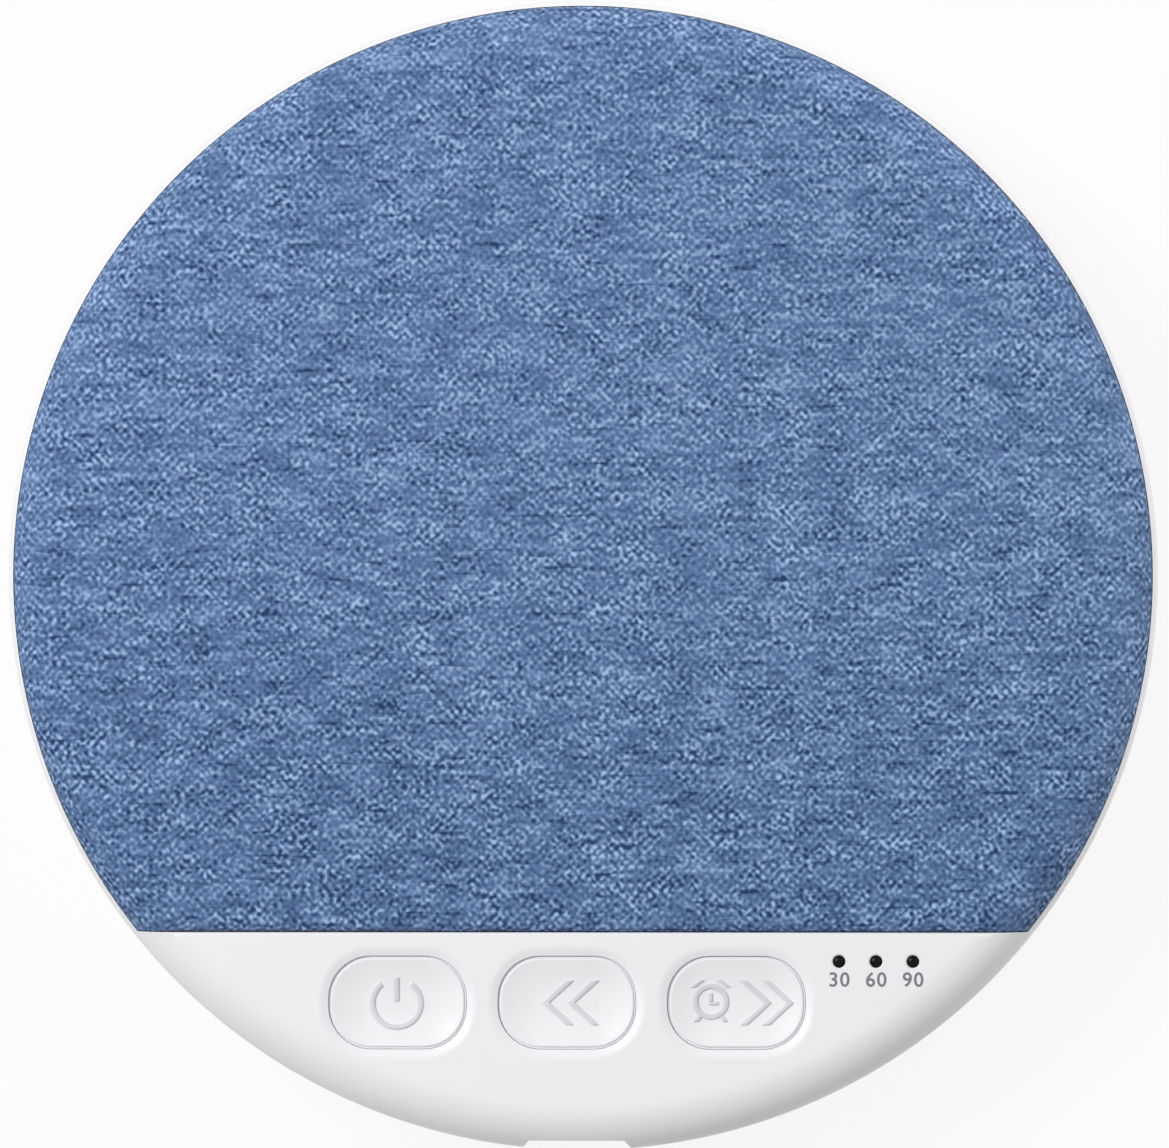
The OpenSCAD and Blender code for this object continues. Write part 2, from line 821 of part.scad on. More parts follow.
// Driver
module driver_basket() {
  vent_r = (yoke_r + basket_r) / 2;
  color("#4a4d52") difference() {
    union() {
      translate([0, driver_y, 0]) rotate_extrude() polygon([
        [yoke_r + screw_gap, basket_floor_z],
        [basket_out_r, basket_floor_z],
        [basket_out_r, driver_z - flange_t],
        [driver_r, driver_z - flange_t],
        [driver_r, driver_z],
        [basket_r, driver_z],
        [basket_r, cone_z],
        [step_r, cone_z],
        [step_r, cone_z - flange_t / 2],
        [basket_r, cone_z - flange_t / 2],
        [basket_r, pole_z1],
        [yoke_r + screw_gap, pole_z1]]);
      rods(driver_screw_places, small_head_r + fit_gap, driver_z - flange_t, driver_z);
    }
    for (a = [0, 90, 180]) translate([0, driver_y, 0]) rotate([0, 0, a])
      block([vent_w / 2, vent_w, flange_t + 2 * past], [vent_r, 0, basket_floor_z - past]);
    rods(driver_screw_places, small_bore_r, driver_z - flange_t - past, driver_z + past);
  }
}

module driver_yoke() {
  color("#9a9da3") translate([0, driver_y, 0]) difference() {
    ring(0, yoke_r, yoke_z0, pole_z1);
    ring(0, yoke_in_r, magnet_z0, pole_z1 + past);
  }
}

module driver_magnet() {
  color("#6d7076") translate([0, driver_y, magnet_z0]) cylinder(h = magnet_h, r = pole_r - fit_gap);
}

module driver_pole() {
  color("#9a9da3") translate([0, driver_y, pole_z0]) cylinder(h = pole_h, r = pole_r);
}

module driver_gasket() {
  color("#2e2f33") difference() {
    union() {
      translate([0, driver_y, 0]) ring(basket_r + fit_gap, driver_r - fit_gap, driver_z, grille_z0);
      rods(driver_screw_places, small_head_r, driver_z, grille_z0);
    }
    rods(driver_screw_places, small_bore_r, driver_z - past, grille_z0 + past);
  }
}

module driver_terminals() {
  color("#a9793c")
    block([terminal_w, terminal_l, terminal_t], [0, terminal_y + terminal_l / 2, terminal_z0]);
}

module driver_surround() {
  steps = 12;
  mid = (cone_r + step_r) / 2;
  function roll(grow) = [for (i = [0 : steps]) let (a = 180 - 180 * i / steps)
    [mid + (roll_w / 2 + grow) * cos(a), cone_z + roll_t + (roll_h + grow) * sin(a)]];
  color("#26272b") translate([0, driver_y, 0]) rotate_extrude() polygon([
    [cone_r - roll_edge_w, cone_z],
    [cone_r - roll_edge_w, cone_z + roll_t],
    each roll(0),
    [step_r + roll_edge_w, cone_z + roll_t],
    [step_r + roll_edge_w, cone_z],
    [step_r, cone_z],
    each [for (i = [steps - 1 : -1 : 1]) roll(-roll_t)[i]],
    [cone_r, cone_z]]);
}

module driver_cone() {
  flat_r = coil_r + coil_t;
  color("#303238") translate([0, driver_y, 0]) rotate_extrude() polygon([
    [coil_r, neck_z],
    [flat_r, neck_z],
    [cone_r - roll_edge_w, cone_z - cone_t],
    [cone_r - fit_gap, cone_z - cone_t],
    [cone_r - fit_gap, cone_z],
    [cone_r - roll_edge_w, cone_z],
    [flat_r, neck_z + cone_t],
    [coil_r, neck_z + cone_t]]);
}

module dust_cap() {
  steps = 8;
  reach = coil_r + coil_t / 2;
  function dome(shrink) = [for (i = [0 : steps]) let (a = 90 * i / steps)
    [(reach - shrink) * cos(a), neck_z + cone_t + (dust_cap_h - shrink) * sin(a)]];
  color("#303238") translate([0, driver_y, 0]) rotate_extrude() polygon([
    each dome(0),
    each [for (i = [steps : -1 : 0]) dome(cone_t)[i]]]);
}

module voice_coil() {
  color("#b4703a") translate([0, driver_y, 0]) ring(coil_r, coil_r + coil_t, neck_z - coil_l, neck_z);
}

// Screws, each with a cross slot in its head
module screw(place, shank_r, head_r, head_h, seat_z, length) {
  difference() {
    union() {
      rods([place], head_r, seat_z - head_h, seat_z);
      rods([place], shank_r, seat_z - bond, seat_z + length);
    }
    for (turn = [0, 90]) translate([place.x, place.y, seat_z - head_h]) rotate([0, 0, turn])
      cube([2 * shank_r + slot_t, slot_t, 2 * slot_t], center = true);
  }
}

module case_screws() {
  color("#8f9298") for (p = case_screw_places)
    screw(p, case_screw_r, case_head_r, case_head_h, case_seat_z, case_screw_l);
}

module board_screws() {
  color("#8f9298") for (p = board_screw_places)
    screw(p, small_screw_r, small_head_r, small_head_h, board_z0, board_t + small_thread_l);
}

module driver_screws() {
  length = flange_t + gasket_t + small_thread_l;
  color("#8f9298") for (p = driver_screw_places)
    screw(p, small_screw_r, small_head_r, small_head_h, driver_z - flange_t, length);
}

rear_shell();
front_shell();
grille_plate();
grille_tape();
cloth_cover();
power_key();
previous_key();
next_key();
power_plunger();
previous_plunger();
next_plunger();
power_switch();
previous_switch();
next_switch();
light_guide();
timer_leds();
circuit_board();
radio_chip();
amplifier_chip();
board_capacitors();
solder_joints();
usb_shell();
usb_tongue();
battery_cell();
battery_guard();
battery_pad();
battery_leads();
speaker_leads();
driver_basket();
driver_yoke();
driver_magnet();
driver_pole();
driver_gasket();
driver_terminals();
driver_surround();
driver_cone();
dust_cap();
voice_coil();
case_screws();
board_screws();
driver_screws();
rubber_feet();
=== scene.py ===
import math
import bmesh
import bpy
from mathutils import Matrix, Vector, noise


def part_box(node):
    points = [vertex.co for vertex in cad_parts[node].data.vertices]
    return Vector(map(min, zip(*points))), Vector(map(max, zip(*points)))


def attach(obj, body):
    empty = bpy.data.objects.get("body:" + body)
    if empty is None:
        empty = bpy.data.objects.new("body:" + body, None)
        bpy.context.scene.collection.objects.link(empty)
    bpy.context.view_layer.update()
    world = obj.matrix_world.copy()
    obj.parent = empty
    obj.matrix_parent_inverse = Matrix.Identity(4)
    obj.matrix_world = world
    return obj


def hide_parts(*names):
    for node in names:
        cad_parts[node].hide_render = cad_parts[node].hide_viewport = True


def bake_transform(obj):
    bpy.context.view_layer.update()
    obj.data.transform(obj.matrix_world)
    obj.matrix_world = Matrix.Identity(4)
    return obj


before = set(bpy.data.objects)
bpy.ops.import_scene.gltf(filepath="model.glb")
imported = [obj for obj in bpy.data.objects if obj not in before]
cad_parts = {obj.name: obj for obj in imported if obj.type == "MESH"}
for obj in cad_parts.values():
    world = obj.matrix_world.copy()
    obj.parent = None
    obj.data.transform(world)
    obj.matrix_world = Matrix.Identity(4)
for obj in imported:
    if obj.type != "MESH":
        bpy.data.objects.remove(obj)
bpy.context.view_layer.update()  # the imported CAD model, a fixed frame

mm = 0.001
scene = bpy.context.scene
scene.view_settings.view_transform = "Standard"


# Camera, almost straight above the cloth

photoCamera = {
    "lens": 354,  # long, because the photograph shows no perspective
    "aim": (0.06, 0.11, 8),  # mm
    "far": 1004,
    "lean": (1.2, 0.6),  # degrees to the right and the top, where more of the rim shows
}


def addCamera(setup):
    right, up = [math.radians(v) for v in setup["lean"]]
    away = Vector((math.tan(right), math.tan(up), 1)) * setup["far"]
    bpy.ops.object.camera_add(location=(Vector(setup["aim"]) + away) * mm, rotation=(-up, right, 0))
    camera = bpy.context.object
    camera.name = "photo_camera"
    camera.data.lens = setup["lens"]
    scene.camera = camera


addCamera(photoCamera)
print("camera set")


# Picking, edit mode and modifiers

mergeReach = 0.0005  # mm within which two points become one
planeReach = 0.0001  # mm within which a point lies on a cutting plane
sameHeight = 0.004  # mm within which two heights are the same


def clearPick():
    if bpy.context.mode != "OBJECT":
        bpy.ops.object.mode_set(mode="OBJECT")
    bpy.ops.object.select_all(action="DESELECT")


def pickOnly(obj):
    clearPick()
    obj.select_set(True)
    bpy.context.view_layer.objects.active = obj


def startEdit(obj, kind="VERT", everything=False):
    pickOnly(obj)
    bpy.ops.object.mode_set(mode="EDIT")
    bpy.ops.mesh.select_mode(type=kind)
    bpy.ops.mesh.select_all(action="SELECT" if everything else "DESELECT")


def endEdit():
    bpy.ops.object.mode_set(mode="OBJECT")


def pickPart(obj, part, test):  # adds the edges or faces that pass a test to what is picked
    mesh = bmesh.from_edit_mesh(obj.data)
    for item in getattr(mesh, part):
        if test(item):
            item.select_set(True)
    bmesh.update_edit_mesh(obj.data)


def near(height, target):  # a vertex's height against one in mm
    return abs(height / mm - target) < sameHeight


def facing(face, way, share=0.9):
    return face.normal.dot(Vector(way)) > share


def settle():  # puts the active object's place, turn and size into its mesh
    bpy.ops.object.transform_apply(location=True, rotation=True, scale=True)


def turnPiece(obj, turn, place=(0, 0, 0)):  # turn in radians, place in mm
    obj.rotation_euler = turn
    obj.location = [v * mm for v in place]
    pickOnly(obj)
    settle()


def extrude(x=0, y=0, z=0):  # mm
    bpy.ops.mesh.extrude_region_move(TRANSFORM_OT_translate={"value": (x * mm, y * mm, z * mm)})


def tidyMesh(obj):
    startEdit(obj, everything=True)
    bpy.ops.mesh.remove_doubles(threshold=mergeReach * mm)
    bpy.ops.mesh.normals_make_consistent(inside=False)
    endEdit()


def applyModifier(obj, kind, **settings):
    modifier = obj.modifiers.new(kind.lower(), kind)
    for name, value in settings.items():
        setattr(modifier, name, value)
    pickOnly(obj)
    bpy.ops.object.modifier_apply(modifier=modifier.name)


def combine(obj, tool, operation):  # boolean with a tool that is used up
    applyModifier(obj, "BOOLEAN", object=tool, operation=operation, solver="MANIFOLD")
    bpy.data.objects.remove(tool)


def softenEdges(obj, test, width, segments):
    startEdit(obj, "EDGE")
    pickPart(obj, "edges", test)
    bpy.ops.mesh.bevel(offset=width * mm, segments=segments, affect="EDGES")
    endEdit()


def joinAll(objs):
    clearPick()
    for obj in objs:
        obj.select_set(True)
    bpy.context.view_layer.objects.active = objs[0]
    bpy.ops.object.join()
    return objs[0]


def copyOf(obj, x=0, y=0):  # a copy with its own mesh, moved in mm
    pickOnly(obj)
    bpy.ops.object.duplicate(linked=False)
    twin = bpy.context.object
    twin.location = (x * mm, y * mm, 0)
    settle()
    return twin


def shade(obj, angle=32, weight=60):
    pickOnly(obj)
    bpy.ops.object.shade_smooth_by_angle(angle=math.radians(angle))
    applyModifier(obj, "WEIGHTED_NORMAL", keep_sharp=True, weight=weight)


def finishPiece(obj, name, body, material, nodes=()):
    obj.name = name
    obj.data.name = name
    obj.data.materials.clear()
    obj.data.materials.append(material)
    if body:
        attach(obj, body)
    if nodes:
        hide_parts(*nodes)


# Starting shapes, all in mm

roundSides = 256  # of the case and of what follows its outline


def addPlate(width, depth, corner, place, down=False, segments=12):  # one rounded face, left in edit mode
    clearPick()
    bpy.ops.mesh.primitive_plane_add(size=1, location=[v * mm for v in place])
    plate = bpy.context.object
    plate.scale = (width * mm, depth * mm, 1)
    settle()
    startEdit(plate, everything=True)
    bpy.ops.mesh.bevel(offset=corner * mm, segments=segments, affect="VERTICES")
    bpy.ops.mesh.select_mode(type="FACE")
    bpy.ops.mesh.select_all(action="SELECT")
    if down:
        bpy.ops.mesh.flip_normals()
    return plate


def addRod(radius, place, z0, z1, sides=64):
    clearPick()
    middle = [v * mm for v in (*place, (z0 + z1) / 2)]
    bpy.ops.mesh.primitive_cylinder_add(
        vertices=sides, radius=radius * mm, depth=(z1 - z0) * mm, location=middle)
    settle()
    return bpy.context.object


def addBox(low, high):
    clearPick()
    bpy.ops.mesh.primitive_cube_add(size=1, location=[(a + b) / 2 * mm for a, b in zip(low, high)])
    box = bpy.context.object
    box.scale = [(b - a) * mm for a, b in zip(low, high)]
    settle()
    return box


def keepHalf(place, side):  # cuts what is picked by a plane in mm and closes the cut
    bpy.ops.mesh.bisect(plane_co=[v * mm for v in place], plane_no=side, use_fill=True, clear_inner=True,
                        threshold=planeReach * mm)


def addCutDisc(radius, edgeY, z0, z1):  # a disc with one straight edge
    disc = addRod(radius, (0, 0), z0, z1, roundSides)
    startEdit(disc, everything=True)
    keepHalf((0, edgeY, 0), (0, 1, 0))
    endEdit()
    return disc


def addPath(points):  # a chain of edges, left in edit mode
    clearPick()
    bpy.ops.mesh.primitive_plane_add(size=mm, location=[v * mm for v in points[0]])
    path = bpy.context.object
    settle()
    startEdit(path, everything=True)
    bpy.ops.mesh.merge(type="CENTER")
    for here, there in zip(points, points[1:]):
        extrude(*[b - a for a, b in zip(here, there)])
    return path


def turned(points, steps):  # spins a half section about Z
    body = addPath([(r, 0, z) for r, z in points])
    bpy.ops.mesh.select_all(action="SELECT")
    bpy.ops.mesh.spin(steps=steps, angle=2 * math.pi, center=(0, 0, 0), axis=(0, 0, 1))
    endEdit()
    tidyMesh(body)
    return body


def arc(r, z, radius, first, last, steps):  # points on a rounding, angles in degrees from the outside
    angles = [math.radians(first + (last - first) * i / steps) for i in range(steps + 1)]
    return [(r + radius * math.cos(a), z + radius * math.sin(a)) for a in angles]


def insetAlong(steps, sign):  # walks a picked face inwards through (offset, height) points
    for (d0, z0), (d1, z1) in zip(steps, steps[1:]):
        bpy.ops.mesh.inset(thickness=(d0 - d1) * mm, depth=sign * (z1 - z0) * mm, use_even_offset=True)


# Material helpers

def linear(r, g, b):  # a colour picked in 0..255 steps, as the shader wants it
    steps = [v / 255 for v in (r, g, b)]
    return tuple(v / 12.92 if v <= 0.04045 else ((v + 0.055) / 1.055) ** 2.4 for v in steps) + (1.0,)


def newMaterial(name):
    material = bpy.data.materials.new(name)
    material.use_nodes = True
    return material, material.node_tree, material.node_tree.nodes["Principled BSDF"]


def addNode(tree, kind, settings=(), **inputs):  # an input is a value or another node's socket
    node = tree.nodes.new("ShaderNode" + kind)
    for name, value in dict(settings).items():
        setattr(node, name, value)
    for name, value in inputs.items():
        byNumber = name[0] == "i" and name[1:].isdigit()  # i0 is the first input
        socket = node.inputs[int(name[1:]) if byNumber else name]
        if isinstance(value, bpy.types.NodeSocket):
            tree.links.new(value, socket)
        else:
            socket.default_value = value
    return node


def objectCoords(tree):
    return addNode(tree, "TexCoord").outputs["Object"]


def noiseOf(tree, coords, step, detail=2.0, roughness=0.5, output="Fac"):  # step: size in mm along x, y and z
    counted = addNode(tree, "Mapping", Vector=coords, Scale=[1 / (v * mm) for v in step]).outputs[0]
    node = addNode(tree, "TexNoise", Vector=counted, Scale=1.0, Detail=detail, Roughness=roughness)
    return node.outputs[output]


def maths(tree, operation, first, second):
    return addNode(tree, "Math", {"operation": operation}, i0=first, i1=second).outputs[0]


def vectorMaths(tree, operation, first, second):
    return addNode(tree, "VectorMath", {"operation": operation}, i0=first, i1=second).outputs[0]


def spreadOut(tree, value, low, high, middle=(0.3, 0.7)):  # stretches a value's middle range to low..high
    ranges = {"From Min": middle[0], "From Max": middle[1], "To Min": low, "To Max": high}
    return addNode(tree, "MapRange", Value=value, **ranges).outputs[0]


def swing(tree, noiseValue, strength):  # a noise of 0..1 to both sides of zero
    return maths(tree, "MULTIPLY", maths(tree, "SUBTRACT", noiseValue, 0.5), strength)


def shareOf(tree, first, second, share):
    part = maths(tree, "MULTIPLY", first, share)
    return maths(tree, "ADD", part, maths(tree, "MULTIPLY", second, 1 - share))


def bumpOf(tree, shader, height, strength, depth):
    bump = addNode(tree, "Bump", Strength=strength, Distance=depth * mm, Height=height)
    tree.links.new(bump.outputs[0], shader.inputs["Normal"])


def blendOf(tree, amount, first, second):
    return addNode(tree, "Mix", {"data_type": "RGBA"}, i0=amount, i6=first, i7=second).outputs[2]


# Moulded finishes: satin, with a fine spark texture and faint handling marks

mouldGrain = {
    "cloud": ((14, 14, 14), 3),  # size in mm along x, y and z, and detail
    "spark": ((0.16, 0.16, 0.16), 2),
    "cloudShare": 0.7,  # of the clouds in the gloss, beside the sparks
    "bump": (0.12, 0.02),  # strength, and depth in mm
}
# name of the finish: light colour, dark colour, roughness
mouldedFinishes = {
    "white_shell": ((234, 234, 237), (230, 230, 233), (0.36, 0.5)),
    "white_key": ((233, 233, 236), (229, 229, 232), (0.4, 0.52)),
    "mark": ((212, 212, 215), (204, 204, 208), (0.4, 0.55)),
    "print": ((122, 123, 127), (106, 107, 112), (0.5, 0.65)),
}


def mouldedPlastic(name, grain, light, dark, rough):
    material, tree, shader = newMaterial(name)
    coords = objectCoords(tree)
    cloud = noiseOf(tree, coords, *grain["cloud"])
    spark = noiseOf(tree, coords, *grain["spark"])
    tree.links.new(blendOf(tree, cloud, linear(*light), linear(*dark)), shader.inputs["Base Color"])
    smear = shareOf(tree, cloud, spark, grain["cloudShare"])
    tree.links.new(spreadOut(tree, smear, *rough), shader.inputs["Roughness"])
    bumpOf(tree, shader, spark, *grain["bump"])
    return material


# Cloth finish: plain weave of dark and pale thread, with slubs along the weft, faint clouds, and painted
# shade towards the keys

clothLook = {
    "shadow": (30, 56, 98),
    "body": (92, 119, 160),
    "light": (162, 188, 226),
    "thread": 0.41,  # mm from thread to thread
    "wander": (0.42, (1.4, 1.4, 1.4)),  # mm that a thread strays, and over how many mm along x, y and z
    "weave": 0.19,  # strength in the tone
    "specks": (1.05, (0.4, 0.43, 0.4), 0.2),  # strength in the tone, size in mm along x, y and z, detail
    "streaks": (0.6, (2.6, 0.6, 2.6), 1, 0.55),  # and roughness of the noise
    "clouds": (0.4, (5, 2.6, 5), 2),
    "slubs": (0.3, (3.2, 0.5, 3.2), 0),  # sparse dark dashes
    "slubRange": (0.68, 0.82),  # only the top of their noise shows
    "patches": ((0.55, 1.45), (2.4, 1.6, 2.4), 1),  # where weave and specks are weaker or stronger
    "low": 0.08,  # painted shade: the cloth is a little darker towards the keys
    "lowDepth": 2.2,  # and its contrast a little higher
    "paintedShadeRange": (-31, 10),  # mm, from the keys to where the painted shade has faded out
    "ridge": 0.5,  # of the weave in the bump, beside the specks
    "bump": (0.4, 0.05),  # strength, and depth in mm
    "rough": (0.82, 0.95),
    "sheen": 0.1,
    "gloss": 0.2,
}


def weaveOf(tree, coords, look):  # a chequer of threads that stray a little
    reach, step = look["wander"]
    stray = noiseOf(tree, coords, step, 1, output="Color")
    stray = vectorMaths(tree, "SUBTRACT", stray, (0.5, 0.5, 0.5))
    stray = vectorMaths(tree, "MULTIPLY", stray, [2 * reach * mm] * 3)
    crooked = addNode(tree, "SeparateXYZ", Vector=vectorMaths(tree, "ADD", coords, stray))
    turns = [maths(tree, "MULTIPLY", crooked.outputs[way], math.pi / (look["thread"] * mm)) for way in "XY"]
    return maths(tree, "MULTIPLY", *[maths(tree, "SINE", turn, 0.0) for turn in turns])


def heatherTone(tree, coords, look, weave, specks):  # 0..1 from dark to pale thread
    (weaker, stronger), *grain = look["patches"]
    patches = spreadOut(tree, noiseOf(tree, coords, *grain), weaker, stronger)
    tone = swing(tree, specks, look["specks"][0])
    tone = maths(tree, "ADD", tone, maths(tree, "MULTIPLY", weave, look["weave"]))
    tone = maths(tree, "MULTIPLY", tone, patches)
    for part in ("streaks", "clouds"):
        strength, *grain = look[part]
        tone = maths(tree, "ADD", tone, swing(tree, noiseOf(tree, coords, *grain), strength))
    strength, *grain = look["slubs"]
    slubs = spreadOut(tree, noiseOf(tree, coords, *grain), 0.0, strength, look["slubRange"])
    tone = maths(tree, "SUBTRACT", tone, slubs)
    # painted shade: the tone drops towards the keys, and its contrast rises there
    upward = addNode(tree, "SeparateXYZ", Vector=coords).outputs["Y"]
    lower = spreadOut(tree, upward, look["low"], 0.0, [v * mm for v in look["paintedShadeRange"]])
    deeper = maths(tree, "ADD", maths(tree, "MULTIPLY", lower, look["lowDepth"]), 1.0)
    tone = maths(tree, "ADD", maths(tree, "MULTIPLY", tone, deeper), 0.5)
    return maths(tree, "SUBTRACT", tone, lower)


def heatherCloth(name, look):
    material, tree, shader = newMaterial(name)
    coords = addNode(tree, "Attribute", {"attribute_name": "flat"}).outputs["Vector"]  # place on the flat cut
    weave = weaveOf(tree, coords, look)
    specks = noiseOf(tree, coords, *look["specks"][1:])
    ramp = addNode(tree, "ValToRGB", Fac=heatherTone(tree, coords, look, weave, specks))
    ramp.color_ramp.elements[0].color = linear(*look["shadow"])
    ramp.color_ramp.elements[1].color = linear(*look["light"])
    ramp.color_ramp.elements.new(0.5).color = linear(*look["body"])
    tree.links.new(ramp.outputs[0], shader.inputs["Base Color"])
    ridges = maths(tree, "ADD", maths(tree, "MULTIPLY", weave, look["ridge"]), specks)
    bumpOf(tree, shader, ridges, *look["bump"])
    tree.links.new(spreadOut(tree, specks, *look["rough"]), shader.inputs["Roughness"])
    shader.inputs["Sheen Weight"].default_value = look["sheen"]
    shader.inputs["Specular IOR Level"].default_value = look["gloss"]
    return material


# Other finishes: one grain and larger patches

plainGrain = {
    "grain": (4, 0.6),  # detail and roughness of the noise
    "patch": ((6, 6, 6), 2),  # size in mm along x, y and z, and detail
    "grainShare": 0.6,  # of the grain in colour and gloss, beside the patches
    "depth": 0.03,  # mm of bump
}
# name of the record's slot: light colour, dark colour, grain in mm, roughness, bump, metal, gloss
plainFinishes = {
    "smoked_plastic": ((9, 9, 10), (4, 4, 5), (0.5, 0.5, 0.5), (0.2, 0.3), 0.02, 0.0, 0.12),
    "dark_plastic": ((46, 47, 51), (32, 33, 36), (0.2, 0.2, 0.2), (0.42, 0.58), 0.15),
    "cream_plastic": ((226, 220, 202), (206, 198, 178), (0.3, 0.3, 0.3), (0.4, 0.55), 0.1),
    "tape": ((232, 228, 214), (210, 204, 188), (0.15, 0.6, 0.15), (0.6, 0.8), 0.2),
    "green_board": ((38, 122, 78), (22, 84, 54), (2.2, 0.5, 2.2), (0.3, 0.5), 0.1),
    "tan_board": ((182, 134, 72), (150, 104, 52), (0.4, 0.1, 0.4), (0.5, 0.7), 0.2),
    "tan_ceramic": ((190, 152, 104), (160, 122, 80), (0.25, 0.25, 0.25), (0.35, 0.5), 0.1),
    "steel": ((206, 208, 212), (168, 171, 176), (0.08, 2.5, 0.08), (0.24, 0.4), 0.06, 1.0),
    "magnet": ((112, 115, 121), (84, 87, 92), (0.2, 0.2, 0.2), (0.4, 0.6), 0.2, 1.0),
    "cell_foil": ((198, 203, 210), (166, 171, 179), (3, 0.3, 3), (0.3, 0.46), 0.12, 0.8),
    "foam": ((60, 61, 66), (34, 35, 38), (0.35, 0.35, 0.35), (0.85, 0.97), 0.6),
    "black_rubber": ((42, 43, 47), (28, 29, 32), (0.25, 0.25, 0.25), (0.6, 0.78), 0.2),
    "grey_rubber": ((150, 153, 159), (122, 125, 131), (0.3, 0.3, 0.3), (0.68, 0.85), 0.3),
    "cone_paper": ((58, 60, 67), (38, 40, 45), (0.9, 0.12, 0.9), (0.75, 0.92), 0.45),
    "copper": ((206, 132, 78), (166, 96, 50), (0.3, 0.3, 0.06), (0.25, 0.42), 0.2, 1.0),
    "red_lead": ((190, 44, 48), (152, 28, 32), (0.4, 0.4, 0.4), (0.38, 0.52), 0.08),
    "black_lead": ((44, 46, 50), (28, 29, 33), (0.4, 0.4, 0.4), (0.38, 0.52), 0.08),
}


def plainFinish(name, setup, light, dark, step, rough, bump, metal=0.0, gloss=0.5):
    material, tree, shader = newMaterial(name)
    coords = objectCoords(tree)
    grain = noiseOf(tree, coords, step, *setup["grain"])
    mixed = shareOf(tree, grain, noiseOf(tree, coords, *setup["patch"]), setup["grainShare"])
    tree.links.new(blendOf(tree, mixed, linear(*light), linear(*dark)), shader.inputs["Base Color"])
    tree.links.new(spreadOut(tree, mixed, *rough), shader.inputs["Roughness"])
    shader.inputs["Metallic"].default_value = metal
    shader.inputs["Specular IOR Level"].default_value = gloss
    bumpOf(tree, shader, grain, bump, setup["depth"])
    return material


finishes = {"denim_cloth": heatherCloth("denim_cloth_look", clothLook)}
for finish, look in mouldedFinishes.items():
    finishes[finish] = mouldedPlastic(finish + "_look", mouldGrain, *look)
for finish, look in plainFinishes.items():
    finishes[finish] = plainFinish(finish + "_look", plainGrain, *look)

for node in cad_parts.values():
    for place in node.material_slots:
        place.material = finishes[place.material.name]
print("finishes made:", len(finishes))


# Case

past = 1  # mm that a cutter goes on past a surface
bite = 0.2  # mm that a joined piece starts inside its neighbour

caseShape = {
    "radius": 50,
    "wall": 2,
    "round": 4,
    "top": 16,
    "bottom": 0.6,
    "part": 7.15,  # height of the line between the shells
    "partSoft": 0.18,  # rounding of both edges at that line
    "cuts": (18, 8, 4),  # steps of the roundings outside, inside and at that line
    "clothRadius": 49.5,
    "clothEdge": -30.9,
    "edgeSoft": 0.25,  # rounding of the straight edge beside the cloth
    "edgeArc": (10, 80, 4),  # its angles in degrees, and steps
    "edgeRun": (34, 37, 38.4),  # half lengths: flat, start of its fading and end
    "edgeCuts": 12,  # steps along each of its ends
    "edgeRise": 0.3,  # height over the panel at which its cutter ends
}
insideShape = {
    "ledge": (11.45, 12.95),  # heights, under the grille's edge
    "ledgeRadius": 44.5,
    "ledgeWide": 3.5,  # beside the key panel
    "ledgeBite": 0.3,
    "divider": (1, 0.02),  # wall under the straight edge: thickness, and how far it stands back
    "boss": (2.95, 5.8, 12.2),  # radius and heights of the bosses that the case screws bite into
    "bore": (1.05, 10.8),  # radius and top
    "rib": (2, 9.15, 48.4),  # from each boss to the wall: thickness, foot and reach
    "ribClear": (0.4, 0.05),  # from the bore, and under the ledge's top
    "boardBoss": (1.8, 9.6, 14.4),
    "boardBore": (0.85, 12.1),
    "tower": (3.9, 5.8),  # in the rear shell, round the case screws: radius and top
    "head": (2.1, 3.8),
    "footHole": (5.1, 1.2),
    "lip": (46.9, 47.9, 1.45),  # radii, and the height over and under the line between the shells
    "tray": (53.6, 22.6, 5.6, 1),  # round the battery: length, width, top and wall
    "trayMiddle": (0.5, -19.4),
}
screwRing = {"radius": 41.5, "angles": (45, 135, 212, 328)}  # case screws and feet
boardScrewPlaces = [(-8.65, -42.3), (6.05, -42.3), (-27, -33.4)]
lightShape = {
    "middle": (25.5, -33.4),
    "pitch": 3.2,
    "radius": 0.5,
    "foot": 15.7,
    "dome": 0.22,
    "hole": (0.55, 13, 15.88),  # radius and heights of the drilled hole
    "mouth": 0.67,  # its radius at the panel, after a small chamfer
    "sides": 32,
}
portShape = {
    "x": -0.5,
    "flat": -49.05,  # flat in the wall, with slanted ends
    "width": 8.3,
    "slant": 0.82,
    "seam": (0.12, 0.1),  # depth and half the height of the line between the shells on that flat
    "hole": (8.0, 3.0, 0.85),  # width, height and corner of the charging socket's hole
    "holeCuts": 6,
    "holeRun": (-42, 10),  # its inner end and its length
}
keyShape = {
    "width": 11.6,
    "depth": 7.7,
    "corner": 3.5,
    "gap": 0.2,
    "dish": 0.8,  # depth of the hollow under the panel
    "rim": 0.85,  # hollow outside the key
    "rimSoft": 1.5,  # rounding where the hollow meets the panel
    "edge": 0.12,  # rounding of the key's edge and of its hole
    "step": (0.16, 0.06),  # width and depth of the step under that edge
    "flange": 0.6,
    "flangeTop": 13.9,
    "foot": 12.9,
    "stem": (1.5, 11.9, 13.3),  # radius and heights
    "stemSides": 32,
    "stemSoft": (0.15, 2),  # rounding of its end, and steps
    "faceEnd": 0.3,  # corner radius of the innermost step of the face
    "faceCuts": (5, 10),  # steps of the key's edge and face
    "hollowCuts": (8, 3, 5),  # steps of the hollow's rounding, slope and hole's edge
    "hollowStart": (0.15, 0.03),  # first step of the hollow's cutter: outside the hollow and over the panel
    "hollowEnds": (17.5, 11),  # heights of that cutter's ends
}
keyNodes = {"power": "power_key", "previous": "previous_key", "next": "next_key"}

